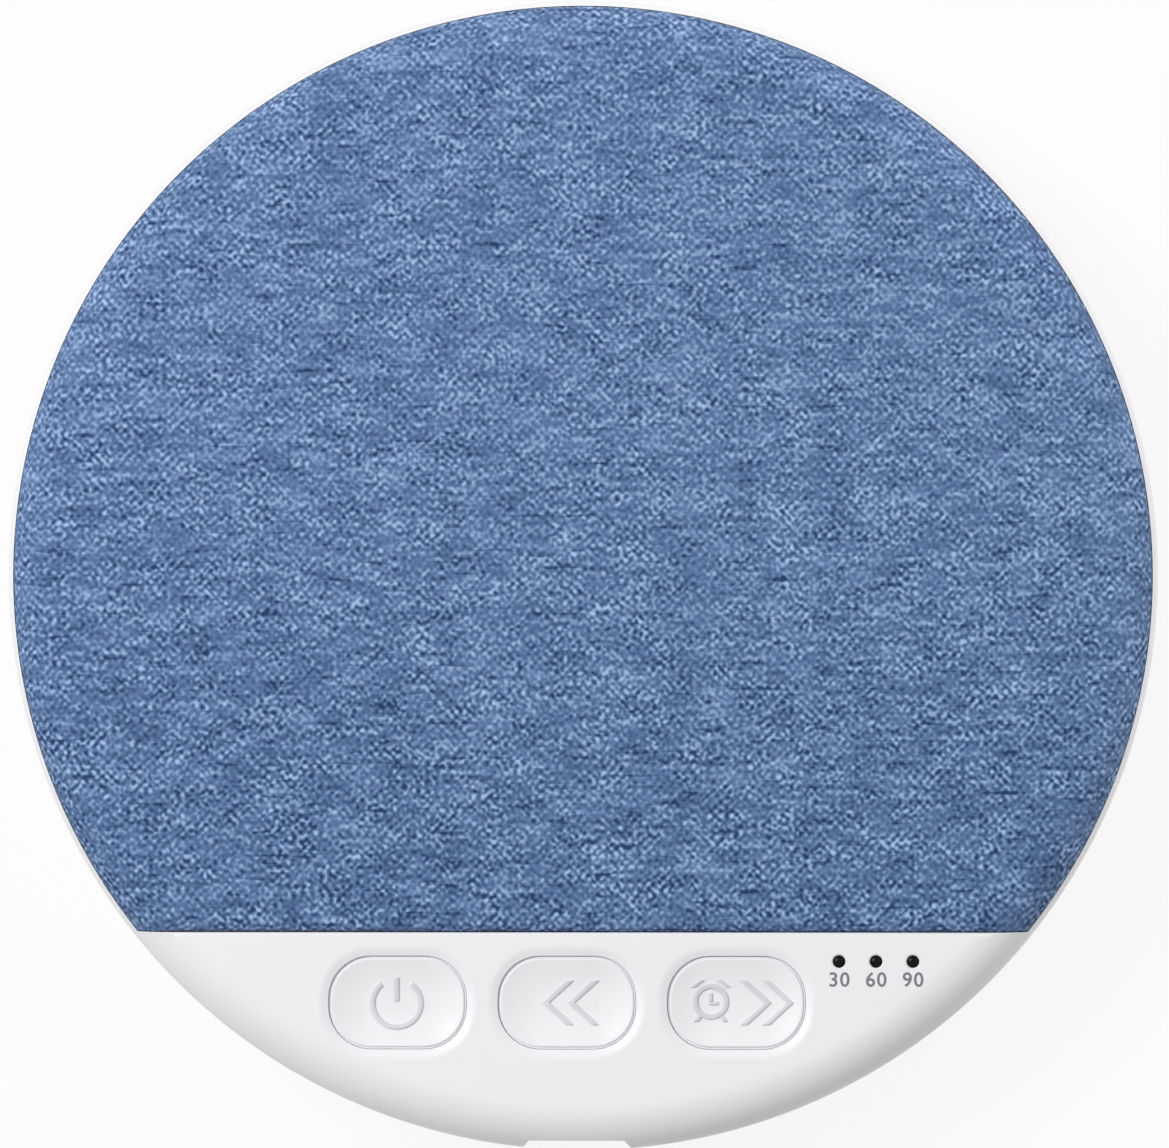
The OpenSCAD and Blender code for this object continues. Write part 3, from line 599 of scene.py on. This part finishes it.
screwTurns = [math.radians(angle) for angle in screwRing["angles"]]
screwPlaces = [(screwRing["radius"] * math.cos(a), screwRing["radius"] * math.sin(a)) for a in screwTurns]
lightX, lightY = lightShape["middle"]
lightPlaces = [(lightX + side * lightShape["pitch"], lightY) for side in (-1, 0, 1)]


def middleOf(node):  # plan centre of a CAD node, mm
    low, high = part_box(node)
    return (low.x + high.x) / 2 / mm, (low.y + high.y) / 2 / mm


def dishRadius(cap):
    half = cap["depth"] / 2 + cap["rim"]
    return (half ** 2 + cap["dish"] ** 2) / (2 * cap["dish"])


def dishHeight(cap, offset):  # height of the hollow at an offset from the key's outline
    r = dishRadius(cap)
    reach = cap["depth"] / 2 + offset
    return caseShape["top"] - cap["dish"] + r - math.sqrt(r * r - reach * reach)


def dishTilt(cap, offset):
    return math.asin((cap["depth"] / 2 + offset) / dishRadius(cap))


def hollowSteps(cap):  # offsets and heights from the panel down to the key's hole
    softCuts, slopeCuts, edgeCuts = cap["hollowCuts"]
    aside, above = cap["hollowStart"]
    soft, edge, top = cap["rimSoft"], cap["edge"], caseShape["top"]
    tilt = dishTilt(cap, cap["rim"])
    start = cap["rim"] + soft * math.tan(tilt / 2)
    steps = [(start + aside, top + above)]
    for i in range(1, softCuts + 1):
        a = tilt * i / softCuts
        steps.append((start - soft * math.sin(a), top - soft * (1 - math.cos(a))))
    lean = dishTilt(cap, cap["gap"])
    last = cap["gap"] + edge * (1 - math.sin(lean))
    first = steps[-1][0]
    for i in range(1, slopeCuts + 1):
        offset = first + (last - first) * i / slopeCuts
        steps.append((offset, dishHeight(cap, offset)))
    base = steps[-1][1] - edge * math.cos(lean)
    for i in range(1, edgeCuts + 1):
        a = lean + (math.pi / 2 - lean) * i / edgeCuts
        steps.append((cap["gap"] + edge * (1 - math.sin(a)), base + edge * math.cos(a)))
    return steps


def keySteps(cap):  # offsets and heights from the key's wall in over its face
    edgeCuts, faceCuts = cap["faceCuts"]
    edge = cap["edge"]
    lean = dishTilt(cap, 0)
    last = -edge * (1 + math.sin(lean))
    base = dishHeight(cap, last) - edge * math.cos(lean)
    steps = []
    for i in range(edgeCuts + 1):
        a = math.pi / 2 - (math.pi / 2 + lean) * i / edgeCuts
        steps.append((-edge + edge * math.sin(a), base + edge * math.cos(a)))
    inner = cap["faceEnd"] - cap["corner"]
    for i in range(1, faceCuts + 1):
        offset = last + (inner - last) * i / faceCuts
        steps.append((offset, dishHeight(cap, offset)))
    return steps


def addGrownPlate(cap, grow, place, height, down=False):  # the key's outline, larger all round
    size = (cap["width"] + 2 * grow, cap["depth"] + 2 * grow, cap["corner"] + grow)
    return addPlate(*size, (*place, height), down)


def addHollowTool(cap, place):
    steps = hollowSteps(cap)
    roof, foot = cap["hollowEnds"]
    tool = addGrownPlate(cap, steps[0][0], place, roof, down=True)
    extrude(z=steps[0][1] - roof)
    insetAlong(steps, -1)
    extrude(z=foot - steps[-1][1])
    endEdit()
    tidyMesh(tool)
    return tool


def addLightTool(shape, place):  # a drilled hole with a small chamfer
    radius, low, high = shape["hole"]
    tool = addRod(radius, place, low, high, shape["sides"])
    startEdit(tool, "FACE")
    pickPart(tool, "faces", lambda f: facing(f, (0, 0, 1)))
    for rise, size in ((caseShape["top"] - high, shape["mouth"] / radius), (past, 1)):
        extrude(z=rise)
        bpy.ops.transform.resize(value=(size, size, 1), center_override=(place[0] * mm, place[1] * mm, 0))
    endEdit()
    return tool


def addPortTool(port, case, low, high, deeper=0.0):  # the flat with slanted ends, between two heights
    outer, inner = -case["radius"] - past, port["flat"] + deeper
    half = port["width"] / 2 + deeper
    tool = addBox((port["x"] - half, outer, low), (port["x"] + half, inner, high))
    wider = 1 + port["slant"] * (inner - outer) / half
    startEdit(tool, "FACE")
    pickPart(tool, "faces", lambda f: facing(f, (0, -1, 0)))
    bpy.ops.transform.resize(value=(wider, 1, 1), center_override=(port["x"] * mm, 0, 0))
    endEdit()
    return tool


def addSocketTool(port, case):  # the hole for the charging socket
    start, run = port["holeRun"]
    tool = addPlate(*port["hole"], (0, 0, 0), segments=port["holeCuts"])
    extrude(z=run)
    endEdit()
    turnPiece(tool, (math.pi / 2, 0, 0), (port["x"], start, case["part"]))
    tidyMesh(tool)
    return tool


def cutPort(shell, port, case):
    deeper, high = port["seam"]
    combine(shell, addPortTool(port, case, -past, case["top"] + past), "DIFFERENCE")
    combine(shell, addPortTool(port, case, case["part"] - high, case["part"] + high, deeper), "DIFFERENCE")
    combine(shell, addSocketTool(port, case), "DIFFERENCE")


def flattenFans(shell, heights):  # one face in place of each fan that the spin leaves
    for z in heights:
        startEdit(shell, "FACE")
        pickPart(shell, "faces", lambda f: all(near(v.co.z, z) for v in f.verts))
        bpy.ops.mesh.dissolve_faces()
        endEdit()


def panelHeight(case, x):  # outside of the panel above the straight edge
    out = max(0, math.hypot(x, case["clothEdge"]) - case["radius"] + case["round"])
    return case["top"] - case["round"] + math.sqrt(case["round"] ** 2 - out ** 2)


def addEdgeTool(case):  # rounds the straight edge beside the cloth, and rises out of the panel at the ends
    soft, y = case["edgeSoft"], case["clothEdge"]
    flat, fade, end = case["edgeRun"]
    cuts = case["edgeCuts"]
    side = [flat + (end - flat) * i / cuts for i in range(cuts + 1)]
    line = []
    for x in [-x for x in side[::-1]] + side:
        rise = max(0, (abs(x) - fade) / (end - fade))
        line.append((x, panelHeight(case, x) + case["edgeRise"] * rise))
    section = arc(y - soft, -soft, soft, *case["edgeArc"])
    section += [(section[-1][0], past), (y + past, past), (y + past, section[0][1]), section[0]]
    tool = addPath([(line[0][0], across, line[0][1] + up) for across, up in section])
    bpy.ops.mesh.select_all(action="SELECT")
    bpy.ops.mesh.remove_doubles(threshold=mergeReach * mm)
    bpy.ops.mesh.edge_face_add()
    for (x0, z0), (x1, z1) in zip(line, line[1:]):
        extrude(x=x1 - x0, z=z1 - z0)
    endEdit()
    tidyMesh(tool)
    return tool


def addBoss(size, bore, place):  # a round boss with a blind hole from below
    radius, foot, top = size
    boss = addRod(radius, place, foot, top)
    combine(boss, addRod(bore[0], place, foot - past, bore[1]), "DIFFERENCE")
    return boss


def addRib(inside, place):  # an upright rib from a boss out to the wall
    thick, foot, reach = inside["rib"]
    aside, under = inside["ribClear"]
    start, top = math.hypot(*place) + inside["bore"][0] + aside, inside["ledge"][1] - under
    rib = addBox((start, -thick / 2, foot), (reach, thick / 2, top))
    turnPiece(rib, (0, 0, math.atan2(place[1], place[0])))
    return rib


def addTray(inside, case):  # low walls round the battery
    wide, long, top, wall = inside["tray"]
    x, y = inside["trayMiddle"]
    floor = case["bottom"] + case["wall"]
    tray = addBox((x - wide / 2, y - long / 2, floor - 2 * bite), (x + wide / 2, y + long / 2, top))
    hollow = addBox((x - wide / 2 + wall, y - long / 2 + wall, floor - bite),
                    (x + wide / 2 - wall, y + long / 2 - wall, top + past))
    combine(tray, hollow, "DIFFERENCE")
    return tray


def addLedge(shell, inside, case):  # the grille's seat, and the wall between it and the keys
    inner = case["radius"] - case["wall"]
    low, high = inside["ledge"]
    thick, back = inside["divider"]
    edge = case["clothEdge"]
    ledge = addCutDisc(inner + inside["ledgeBite"], edge - thick, low, high)
    opening = addCutDisc(inside["ledgeRadius"], edge + inside["ledgeWide"], low - past / 2, high + past / 2)
    combine(ledge, opening, "DIFFERENCE")
    combine(shell, ledge, "UNION")
    half = math.sqrt(inner ** 2 - edge ** 2) + bite
    divider = addBox((-half, edge - thick, low + bite / 2),
                     (half, edge - back, case["top"] - case["wall"] + bite))
    combine(shell, divider, "UNION")


def makeFrontShell(case, cap, port, inside):
    inner, core = case["radius"] - case["wall"], case["radius"] - case["round"]
    arcZ, top, part, soft = case["top"] - case["round"], case["top"], case["part"], case["partSoft"]
    outCuts, inCuts, partCuts = case["cuts"]
    shell = turned(
        [(0, top - case["wall"])]
        + arc(core, arcZ, case["round"] - case["wall"], 90, 0, inCuts)
        + [(inner, part)]
        + arc(case["radius"] - soft, part + soft, soft, -90, 0, partCuts)
        + arc(core, arcZ, case["round"], 0, 90, outCuts)
        + [(0, top)], roundSides)
    flattenFans(shell, (top, top - case["wall"]))
    pocket = addCutDisc(case["clothRadius"], case["clothEdge"], inside["ledge"][1], top + case["round"])
    combine(shell, pocket, "DIFFERENCE")
    addLedge(shell, inside, case)
    for place in screwPlaces:
        combine(shell, addRib(inside, place), "UNION")
        combine(shell, addBoss(inside["boss"], inside["bore"], place), "UNION")
    for place in boardScrewPlaces:
        combine(shell, addBoss(inside["boardBoss"], inside["boardBore"], place), "UNION")
    combine(shell, addEdgeTool(case), "DIFFERENCE")
    for node in keyNodes.values():
        combine(shell, addHollowTool(cap, middleOf(node)), "DIFFERENCE")
    for place in lightPlaces:
        combine(shell, addLightTool(lightShape, place), "DIFFERENCE")
    cutPort(shell, port, case)
    tidyMesh(shell)
    shade(shell)
    finishPiece(shell, "front_case", "housing", finishes["white_shell"], ["front_shell"])


def makeRearShell(case, port, inside):
    inner, core = case["radius"] - case["wall"], case["radius"] - case["round"]
    arcZ, part, soft = case["bottom"] + case["round"], case["part"], case["partSoft"]
    floor = case["bottom"] + case["wall"]
    outCuts, inCuts, partCuts = case["cuts"]
    lipIn, lipOut, lip = inside["lip"]
    shell = turned(
        [(0, case["bottom"])]
        + arc(core, arcZ, case["round"], -90, 0, outCuts)
        + arc(case["radius"] - soft, part - soft, soft, 0, 90, partCuts)
        + [(lipOut, part), (lipOut, part + lip), (lipIn, part + lip)]
        + [(lipIn, part - lip), (inner, part - lip)]
        + arc(core, arcZ, case["round"] - case["wall"], 0, -90, inCuts)
        + [(0, floor)], roundSides)
    flattenFans(shell, (case["bottom"], floor))
    combine(shell, addTray(inside, case), "UNION")
    towerRadius, towerTop = inside["tower"]
    for place in screwPlaces:
        combine(shell, addRod(towerRadius, place, floor - bite, towerTop), "UNION")
        for radius, top in (inside["footHole"], inside["head"], (inside["bore"][0], towerTop + past)):
            combine(shell, addRod(radius, place, -past, top), "DIFFERENCE")
    cutPort(shell, port, case)
    tidyMesh(shell)
    shade(shell)
    finishPiece(shell, "rear_case", "housing", finishes["white_shell"], ["rear_shell"])


makeFrontShell(caseShape, keyShape, portShape, insideShape)
print("front case made")
makeRearShell(caseShape, portShape, insideShape)
print("rear case made")


# Keys and the raised marks on them, with the marks' places in mm from the key's middle

markShape = {
    "stroke": 0.42,
    "high": 0.16,
    "sunk": 0.03,
    "soft": (0.05, 2, 50),  # rounding, its steps and the least angle of a rounded edge
    "drawn": 17,  # height at which the bands are drawn, over the key
    "cuts": (5, 0.15),  # most cuts in a stroke, and the least length between them
    "ringCuts": 40,
}
powerMark = {
    "middle": (-0.1, -0.05),
    "radius": 2.1,
    "open": (128, 412),  # angles of the ring's ends
    "bar": (2.2, 0.1),  # heights of the bar's ends
}
chevronMark = {
    "half": (1.05, 1.95),  # half its width and height
    "stroke": 1.45,  # its width along X, in strokes
    "previous": (-1.1, 1.1),  # places along X on that key
    "next": (1.35, 3.3),
}
clockMark = {
    "middle": (-2.25, 0.1),  # the other places are counted from here
    "radius": 1.35,
    "hands": -0.15,  # left side of both hands
    "longHand": (0.75, 0),  # heights of its ends
    "longStroke": 0.75,  # its width in strokes
    "shortHand": (-0.02, -0.3),  # heights of its edges
    "shortLength": 0.8,
    "bell": ((0.75, 1.9), (1.55, 1.25)),
    "foot": ((0.95, -1.3), (1.3, -1.75)),
}


def makeKey(name, cap):
    place = middleOf(keyNodes[name])
    steps = keySteps(cap)
    out, down = cap["step"]
    key = addGrownPlate(cap, cap["flange"], place, cap["foot"])
    extrude(z=cap["flangeTop"] - cap["foot"])
    bpy.ops.mesh.inset(thickness=(cap["flange"] - out) * mm, depth=0)
    extrude(z=steps[0][1] - down - cap["flangeTop"])
    bpy.ops.mesh.inset(thickness=out * mm, depth=0)
    extrude(z=down)
    insetAlong(steps, 1)
    endEdit()
    tidyMesh(key)
    radius, foot, top = cap["stem"]
    stem = addRod(radius, place, foot, top, cap["stemSides"])
    softenEdges(stem, lambda e: all(near(v.co.z, foot) for v in e.verts), *cap["stemSoft"])
    combine(key, stem, "UNION")
    shade(key)
    finishPiece(key, name + "_cap", name + "_button", finishes["white_key"], [keyNodes[name]])
    return key


def addStroke(points, width, place, mark):  # a flat band of even width
    most, least = mark["cuts"]
    band = addPath([(place[0] + x, place[1] + y, mark["drawn"]) for x, y in points])
    bpy.ops.mesh.select_all(action="SELECT")
    shortest = min(math.dist(a, b) for a, b in zip(points, points[1:]))
    bpy.ops.mesh.subdivide(number_cuts=max(1, min(most, int(shortest / least) - 1)))
    bpy.ops.mesh.select_all(action="SELECT")
    extrude(x=width)
    endEdit()
    return band


def addRingStroke(radius, ends, middle, place, mark):  # part of a ring, ends in degrees
    inner, outer = radius - mark["stroke"] / 2, radius + mark["stroke"] / 2
    center = (place[0] + middle[0], place[1] + middle[1], mark["drawn"])
    ring = arc(0, 0, inner, *ends, mark["ringCuts"])
    band = addPath([(center[0] + x, center[1] + y, center[2]) for x, y in ring])
    bpy.ops.mesh.select_all(action="SELECT")
    extrude()
    grow = outer / inner
    bpy.ops.transform.resize(value=(grow, grow, 1), center_override=[v * mm for v in center])
    endEdit()
    tidyMesh(band)
    return band


def chevron(x, way, place, mark):
    wide, high = chevronMark["half"]
    points = [(x - way * wide, high), (x + way * wide, 0), (x - way * wide, -high)]
    return addStroke(points, mark["stroke"] * chevronMark["stroke"], place, mark)


def powerStrokes(place, mark):
    x = powerMark["middle"][0] - mark["stroke"] / 2
    return [
        addRingStroke(powerMark["radius"], powerMark["open"], powerMark["middle"], place, mark),
        addStroke([(x, y) for y in powerMark["bar"]], mark["stroke"], place, mark),
    ]


def previousStrokes(place, mark):
    return [chevron(x, -1, place, mark) for x in chevronMark["previous"]]


def nextStrokes(place, mark):
    stroke = mark["stroke"]
    x, y = clockMark["middle"]
    left = x + clockMark["hands"]
    longHand, shortHand = [[(left, y + up) for up in clockMark[hand]] for hand in ("longHand", "shortHand")]
    strokes = [
        addRingStroke(clockMark["radius"], (0, 360), (x, y), place, mark),
        addStroke(longHand, stroke * clockMark["longStroke"], place, mark),
        addStroke(shortHand, clockMark["shortLength"], place, mark),
    ]
    strokes += [chevron(middle, 1, place, mark) for middle in chevronMark["next"]]
    for side in (-1, 1):
        for part in ("bell", "foot"):
            line = [(x + side * across - stroke / 2, y + up) for across, up in clockMark[part]]
            strokes.append(addStroke(line, stroke, place, mark))
    return strokes


def makeMark(name, key, strokes, mark):  # lays the bands on the hollow face and gives them their height
    bands = joinAll(strokes)
    startEdit(bands, "FACE")
    pickPart(bands, "faces", lambda f: facing(f, (0, 0, -1), 0))
    bpy.ops.mesh.flip_normals()
    endEdit()
    applyModifier(bands, "SHRINKWRAP", target=key, wrap_method="PROJECT", use_project_z=True,
                  use_negative_direction=True, use_positive_direction=False)
    startEdit(bands, everything=True)
    bpy.ops.transform.translate(value=(0, 0, -mark["sunk"] * mm))
    endEdit()
    applyModifier(bands, "SOLIDIFY", thickness=(mark["high"] + mark["sunk"]) * mm, offset=1)
    soft, cuts, angle = mark["soft"]
    applyModifier(bands, "BEVEL", width=soft * mm, segments=cuts,
                  limit_method="ANGLE", angle_limit=math.radians(angle))
    shade(bands, angle=40)
    finishPiece(bands, name + "_mark", name + "_button", finishes["mark"])


for name, strokesOf in (("power", powerStrokes), ("previous", previousStrokes), ("next", nextStrokes)):
    keyCap = makeKey(name, keyShape)
    makeMark(name, keyCap, strokesOf(middleOf(keyNodes[name]), markShape), markShape)
print("keys made")


# Timer lights and their numbers

numberShape = {
    "words": ("30", "60", "90"),
    "size": 1.75,
    "space": 1.12,
    "drop": 1.62,  # mm under the lights
    "bold": 0.025,
    "thick": 0.015,
    "cuts": 6,
}


def makeLenses(shape):
    lenses = []
    for x, y in lightPlaces:
        clearPick()
        bpy.ops.mesh.primitive_uv_sphere_add(
            segments=shape["sides"], ring_count=shape["sides"] // 2, radius=shape["radius"] * mm,
            location=(x * mm, y * mm, shape["foot"] * mm))
        settle()
        lens = bpy.context.object
        startEdit(lens, everything=True)
        keepHalf((0, 0, shape["foot"]), (0, 0, 1))
        bpy.ops.mesh.select_all(action="SELECT")
        bpy.ops.transform.resize(value=(1, 1, shape["dome"] / shape["radius"]),
                                 center_override=(0, 0, shape["foot"] * mm))
        endEdit()
        lenses.append(lens)
    lens = joinAll(lenses)
    shade(lens, angle=50)
    finishPiece(lens, "timer_lenses", "housing", finishes["smoked_plastic"])


def makeNumbers(shape):
    words = []
    for word, (x, y) in zip(shape["words"], lightPlaces):
        clearPick()
        bpy.ops.object.text_add(location=(0, 0, 0))
        text = bpy.context.object
        text.data.body = word
        text.data.align_x = "CENTER"
        text.data.align_y = "CENTER"
        text.data.size = shape["size"] * mm
        text.data.space_character = shape["space"]
        text.data.offset = shape["bold"] * mm
        text.data.extrude = shape["thick"] * mm
        text.data.resolution_u = shape["cuts"]
        pickOnly(text)
        bpy.ops.object.convert(target="MESH")
        number = bpy.context.object
        number.location = (x * mm, (y - shape["drop"]) * mm, caseShape["top"] * mm)
        settle()
        words.append(number)
    numbers = joinAll(words)
    tidyMesh(numbers)
    finishPiece(numbers, "timer_numbers", "housing", finishes["print"])


makeLenses(lightShape)
makeNumbers(numberShape)
print("lights made")


# Cloth, cut flat and pulled down round its edges

clothShape = {
    "thick": 0.5,
    "grid": 0.36,  # mm between the points of the mesh
    "flatRadius": 50.95,
    "flatEdge": -33.5,
    "lineEdge": -30.85,
    "edgeBend": 0.75,  # bend beside the keys
    "rimStart": 4.16,  # mm down the rounding before it turns into the seam
    "rimBend": 0.15,
    "slub": 0.035,  # height of the uneven thread
    "slubNoises": ((1.9, 0.62, 3.1, 0.35), (0.8, 0.8, 7.7, 0.25)),  # size along X and Y, layer and strength
    "plain": (45, -29),  # radius and edge inside which the hidden underside needs no grid
    "plainAngle": 1,  # degrees
    "shadeAngle": 60,
}


def bendDown(run, bend, angle=0.0):  # advance, drop and slope after a run round a bend and straight down
    turn = min(run / bend, math.pi / 2 - angle)
    slope = angle + turn
    straight = run - turn * bend
    advance = bend * (math.sin(slope) - math.sin(angle))
    drop = bend * (math.cos(angle) - math.cos(slope)) + straight
    return advance, drop, slope


def rimFold(run, case, shape):  # over the case's rounding, then down into the seam
    r = case["round"]
    along = min(run, shape["rimStart"])
    slope = along / r
    advance, drop = r * math.sin(slope), r * (1 - math.cos(slope))
    if run > along:
        more, lower, slope = bendDown(run - along, shape["rimBend"], slope)
        advance += more
        drop += lower
    return advance, drop, slope


def slubAt(x, y, shape):  # about -1..0, longer along X than along Y
    high = -0.5
    for long, wide, layer, strength in shape["slubNoises"]:
        high += strength * noise.noise((x / long, y / wide, layer))
    return high


def pulledPoint(co, case, shape):
    x, y, depth = co.x / mm, co.y / mm, case["top"] - co.z / mm
    core = case["radius"] - case["round"]
    r = math.hypot(x, y)
    drop, slope, outX, outY, reach = 0.0, 0.0, 0.0, 1.0, core
    if near(co.z, case["top"]):
        depth = -shape["slub"] * slubAt(x, y, shape)
    if r > core:
        advance, drop, slope = rimFold(r - core, case, shape)
        outX, outY, reach = x / r, y / r, core + advance
        x, y = outX * reach, outY * reach
    bendY = shape["lineEdge"] + shape["edgeBend"]
    if y < bendY:
        advance, lower, lean = bendDown(bendY - co.y / mm, shape["edgeBend"])
        y = bendY - advance
        if math.hypot(x, y) > reach > abs(y):  # a corner stays inside the rim
            x = math.copysign(math.sqrt(reach ** 2 - y ** 2), x)
        if lower > drop:
            drop, slope, outX, outY = lower, lean, 0.0, -1.0
    x -= depth * math.sin(slope) * outX
    y -= depth * math.sin(slope) * outY
    z = case["top"] - drop - depth * math.cos(slope)
    return Vector((x * mm, y * mm, z * mm))


def isPlain(face, shape):  # on the underside, away from the bends
    radius, edge = shape["plain"]
    middle = face.calc_center_median()
    return facing(face, (0, 0, -1)) and middle.xy.length < radius * mm and middle.y > edge * mm


def makeCloth(case, shape):
    radius, edge = shape["flatRadius"], shape["flatEdge"]
    wide, long = 2 * radius + past, radius - edge + past
    clearPick()
    bpy.ops.mesh.primitive_grid_add(
        x_subdivisions=round(wide / shape["grid"]), y_subdivisions=round(long / shape["grid"]), size=1,
        location=(0, (radius + edge) / 2 * mm, case["top"] * mm))
    cloth = bpy.context.object
    cloth.scale = (wide * mm, long * mm, 1)
    settle()
    applyModifier(cloth, "SOLIDIFY", thickness=shape["thick"] * mm, offset=-1)
    outline = addCutDisc(radius, edge, case["top"] - 2 * past, case["top"] + 2 * past)
    combine(cloth, outline, "INTERSECT")
    startEdit(cloth, "FACE")
    pickPart(cloth, "faces", lambda f: isPlain(f, shape))
    bpy.ops.mesh.dissolve_limited(angle_limit=math.radians(shape["plainAngle"]))
    endEdit()
    flat = cloth.data.attributes.new("flat", "FLOAT_VECTOR", "POINT")  # read by the cloth's finish
    for vertex in cloth.data.vertices:
        flat.data[vertex.index].vector = vertex.co
        vertex.co = pulledPoint(vertex.co, case, shape)
    pickOnly(cloth)
    bpy.ops.object.shade_smooth_by_angle(angle=math.radians(shape["shadeAngle"]))
    finishPiece(cloth, "cloth_front", "housing", finishes["denim_cloth"], ["cloth_cover"])


makeCloth(caseShape, clothShape)
print("cloth made")


# Feet and the contacts in the charging socket

footShape = {"radius": 5, "high": 1.2, "soft": (0.3, 4), "ring": 1.1, "sink": 0.2}  # soft: rounding and steps
contactShape = {
    "count": 5,
    "pitch": 0.65,
    "width": 0.36,
    "rise": 0.3,  # from the middle of the socket's tongue to its face
    "high": 0.07,
    "sunk": 0.02,
    "soft": (0.04, 2),  # rounding and steps
    "front": -47.95,
    "back": -45.1,
}


def makeFeet(shape):
    foot = addRod(shape["radius"], (0, 0), 0, shape["high"])
    softenEdges(foot, lambda e: all(near(v.co.z, 0) for v in e.verts), *shape["soft"])
    startEdit(foot, "FACE")
    pickPart(foot, "faces", lambda f: facing(f, (0, 0, -1), 0.99) and len(f.verts) > 4)  # the round face
    bpy.ops.mesh.inset(thickness=shape["ring"] * mm, depth=0)
    bpy.ops.mesh.inset(thickness=shape["sink"] * mm, depth=-shape["sink"] * mm)
    endEdit()
    feet = joinAll([copyOf(foot, *place) for place in screwPlaces])
    bpy.data.objects.remove(foot)
    shade(feet)
    finishPiece(feet, "soft_feet", "housing", finishes["grey_rubber"], ["rubber_feet"])


def makeContacts(shape, port):
    low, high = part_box("usb_tongue")
    face = (low.z + high.z) / 2 / mm + shape["rise"]
    half = shape["width"] / 2
    strip = addBox((-half, shape["front"], face - shape["sunk"]), (half, shape["back"], face + shape["high"]))
    soft, cuts = shape["soft"]
    applyModifier(strip, "BEVEL", width=soft * mm, segments=cuts)
    middle = (shape["count"] - 1) / 2
    places = [port["x"] + (i - middle) * shape["pitch"] for i in range(shape["count"])]
    contacts = joinAll([copyOf(strip, x) for x in places])
    bpy.data.objects.remove(strip)
    shade(contacts)
    finishPiece(contacts, "socket_contacts", "housing", finishes["copper"])


makeFeet(footShape)
makeContacts(contactShape, portShape)
print("feet and contacts made")


# The driver's rubber surround, in two halves that meet on top of its roll

rollShape = {
    "middle": 16.5,
    "wide": 1.1,
    "foot": 11.05,
    "high": 0.9,
    "thick": 0.2,
    "lip": 0.7,
    "axisY": 15.6,
    "cuts": (10, 128),  # over the roll, and round it
}


def rollHalf(shape, side):  # half section from the crown to the glued lip, side 1 outwards or -1 inwards
    thick, foot = shape["thick"], shape["foot"]
    quarter = arc(0, 0, 1, 90, 0, shape["cuts"][0])
    over = [(shape["wide"] * across, foot + thick + shape["high"] * up) for across, up in quarter]
    under = [((shape["wide"] - thick) * across, foot + shape["high"] * up) for across, up in quarter]
    edge = shape["wide"] + shape["lip"]
    section = over + [(edge, foot + thick), (edge, foot)] + under[::-1] + [over[0]]
    return [(shape["middle"] + side * r, z) for r, z in section]


def makeSurround(shape):
    for name, side, body in (("surround_outer", 1, "housing"), ("surround_inner", -1, None)):
        roll = turned(rollHalf(shape, side), shape["cuts"][1])
        startEdit(roll, everything=True)
        bpy.ops.transform.translate(value=(0, shape["axisY"] * mm, 0))
        endEdit()
        shade(roll, angle=40)
        finishPiece(roll, name, body, finishes["black_rubber"], ["driver_surround"])
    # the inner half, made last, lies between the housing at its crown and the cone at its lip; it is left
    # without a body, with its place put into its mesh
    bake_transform(roll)


makeSurround(rollShape)
print("surround made")


# Floor and light

lamps = {
    "key_lamp": {"place": (-530, 305, 785), "size": (420, 420), "watts": 7.2},
    "fill_lamp": {"place": (560, 330, 520), "size": (500, 500), "watts": 1.0},
    "rim_card": {"place": (430, 300, 9), "size": (300, 12), "watts": 0.9},  # low, so it lights the wall
}
studio = {
    "worldLevel": 0.4,
    "worldWhite": 0.96,  # as the camera sees it
    "floorSize": 6000,
    "floorTop": -0.05,  # just under the feet
    "floorTone": 0.75,
    "floorRough": 0.9,
    "floorShare": 0.88,  # part of the floor that shows as plain white
}
white = (1, 1, 1, 1)


def lookedAt(tree):  # 1 for what the camera sees, straight or by way of gloss and glass
    path = addNode(tree, "LightPath")
    seen = maths(tree, "MAXIMUM", path.outputs["Is Camera Ray"], path.outputs["Is Glossy Ray"])
    return maths(tree, "MAXIMUM", seen, path.outputs["Is Transmission Ray"])


def addLamp(name, setup):
    place = Vector(setup["place"]) * mm
    turn = (-place).to_track_quat("-Z", "Y").to_euler()
    bpy.ops.object.light_add(type="AREA", location=place, rotation=turn)
    lamp = bpy.context.object
    lamp.name = name
    lamp.data.shape = "RECTANGLE"
    lamp.data.size, lamp.data.size_y = [v * mm for v in setup["size"]]
    lamp.data.energy = setup["watts"]


def makeWorld(setup):
    world = bpy.data.worlds.new("studio")
    scene.world = world
    world.use_nodes = True
    tree = world.node_tree
    light = tree.nodes["Background"]
    light.inputs["Color"].default_value = white
    light.inputs["Strength"].default_value = setup["worldLevel"]
    shown = addNode(tree, "Background", Color=white, Strength=setup["worldWhite"])
    mixed = addNode(tree, "MixShader", i0=lookedAt(tree), i1=light.outputs[0], i2=shown.outputs[0])
    tree.links.new(mixed.outputs[0], tree.nodes["World Output"].inputs["Surface"])


def makeFloor(setup):
    clearPick()
    bpy.ops.mesh.primitive_plane_add(size=setup["floorSize"] * mm, location=(0, 0, setup["floorTop"] * mm))
    floor = bpy.context.object
    floor.name = "floor"
    material, tree, shader = newMaterial("floor_look")
    shader.inputs["Base Color"].default_value = [setup["floorTone"]] * 3 + [1]
    shader.inputs["Roughness"].default_value = setup["floorRough"]
    glow = addNode(tree, "Emission", Color=white, Strength=1.0)
    amount = maths(tree, "MULTIPLY", lookedAt(tree), setup["floorShare"])
    mixed = addNode(tree, "MixShader", i0=amount, i1=shader.outputs[0], i2=glow.outputs[0])
    tree.links.new(mixed.outputs[0], tree.nodes["Material Output"].inputs["Surface"])
    floor.data.materials.append(material)


clearPick()
for lampName, lampSetup in lamps.items():
    addLamp(lampName, lampSetup)
makeWorld(studio)
makeFloor(studio)
print("floor and light set")
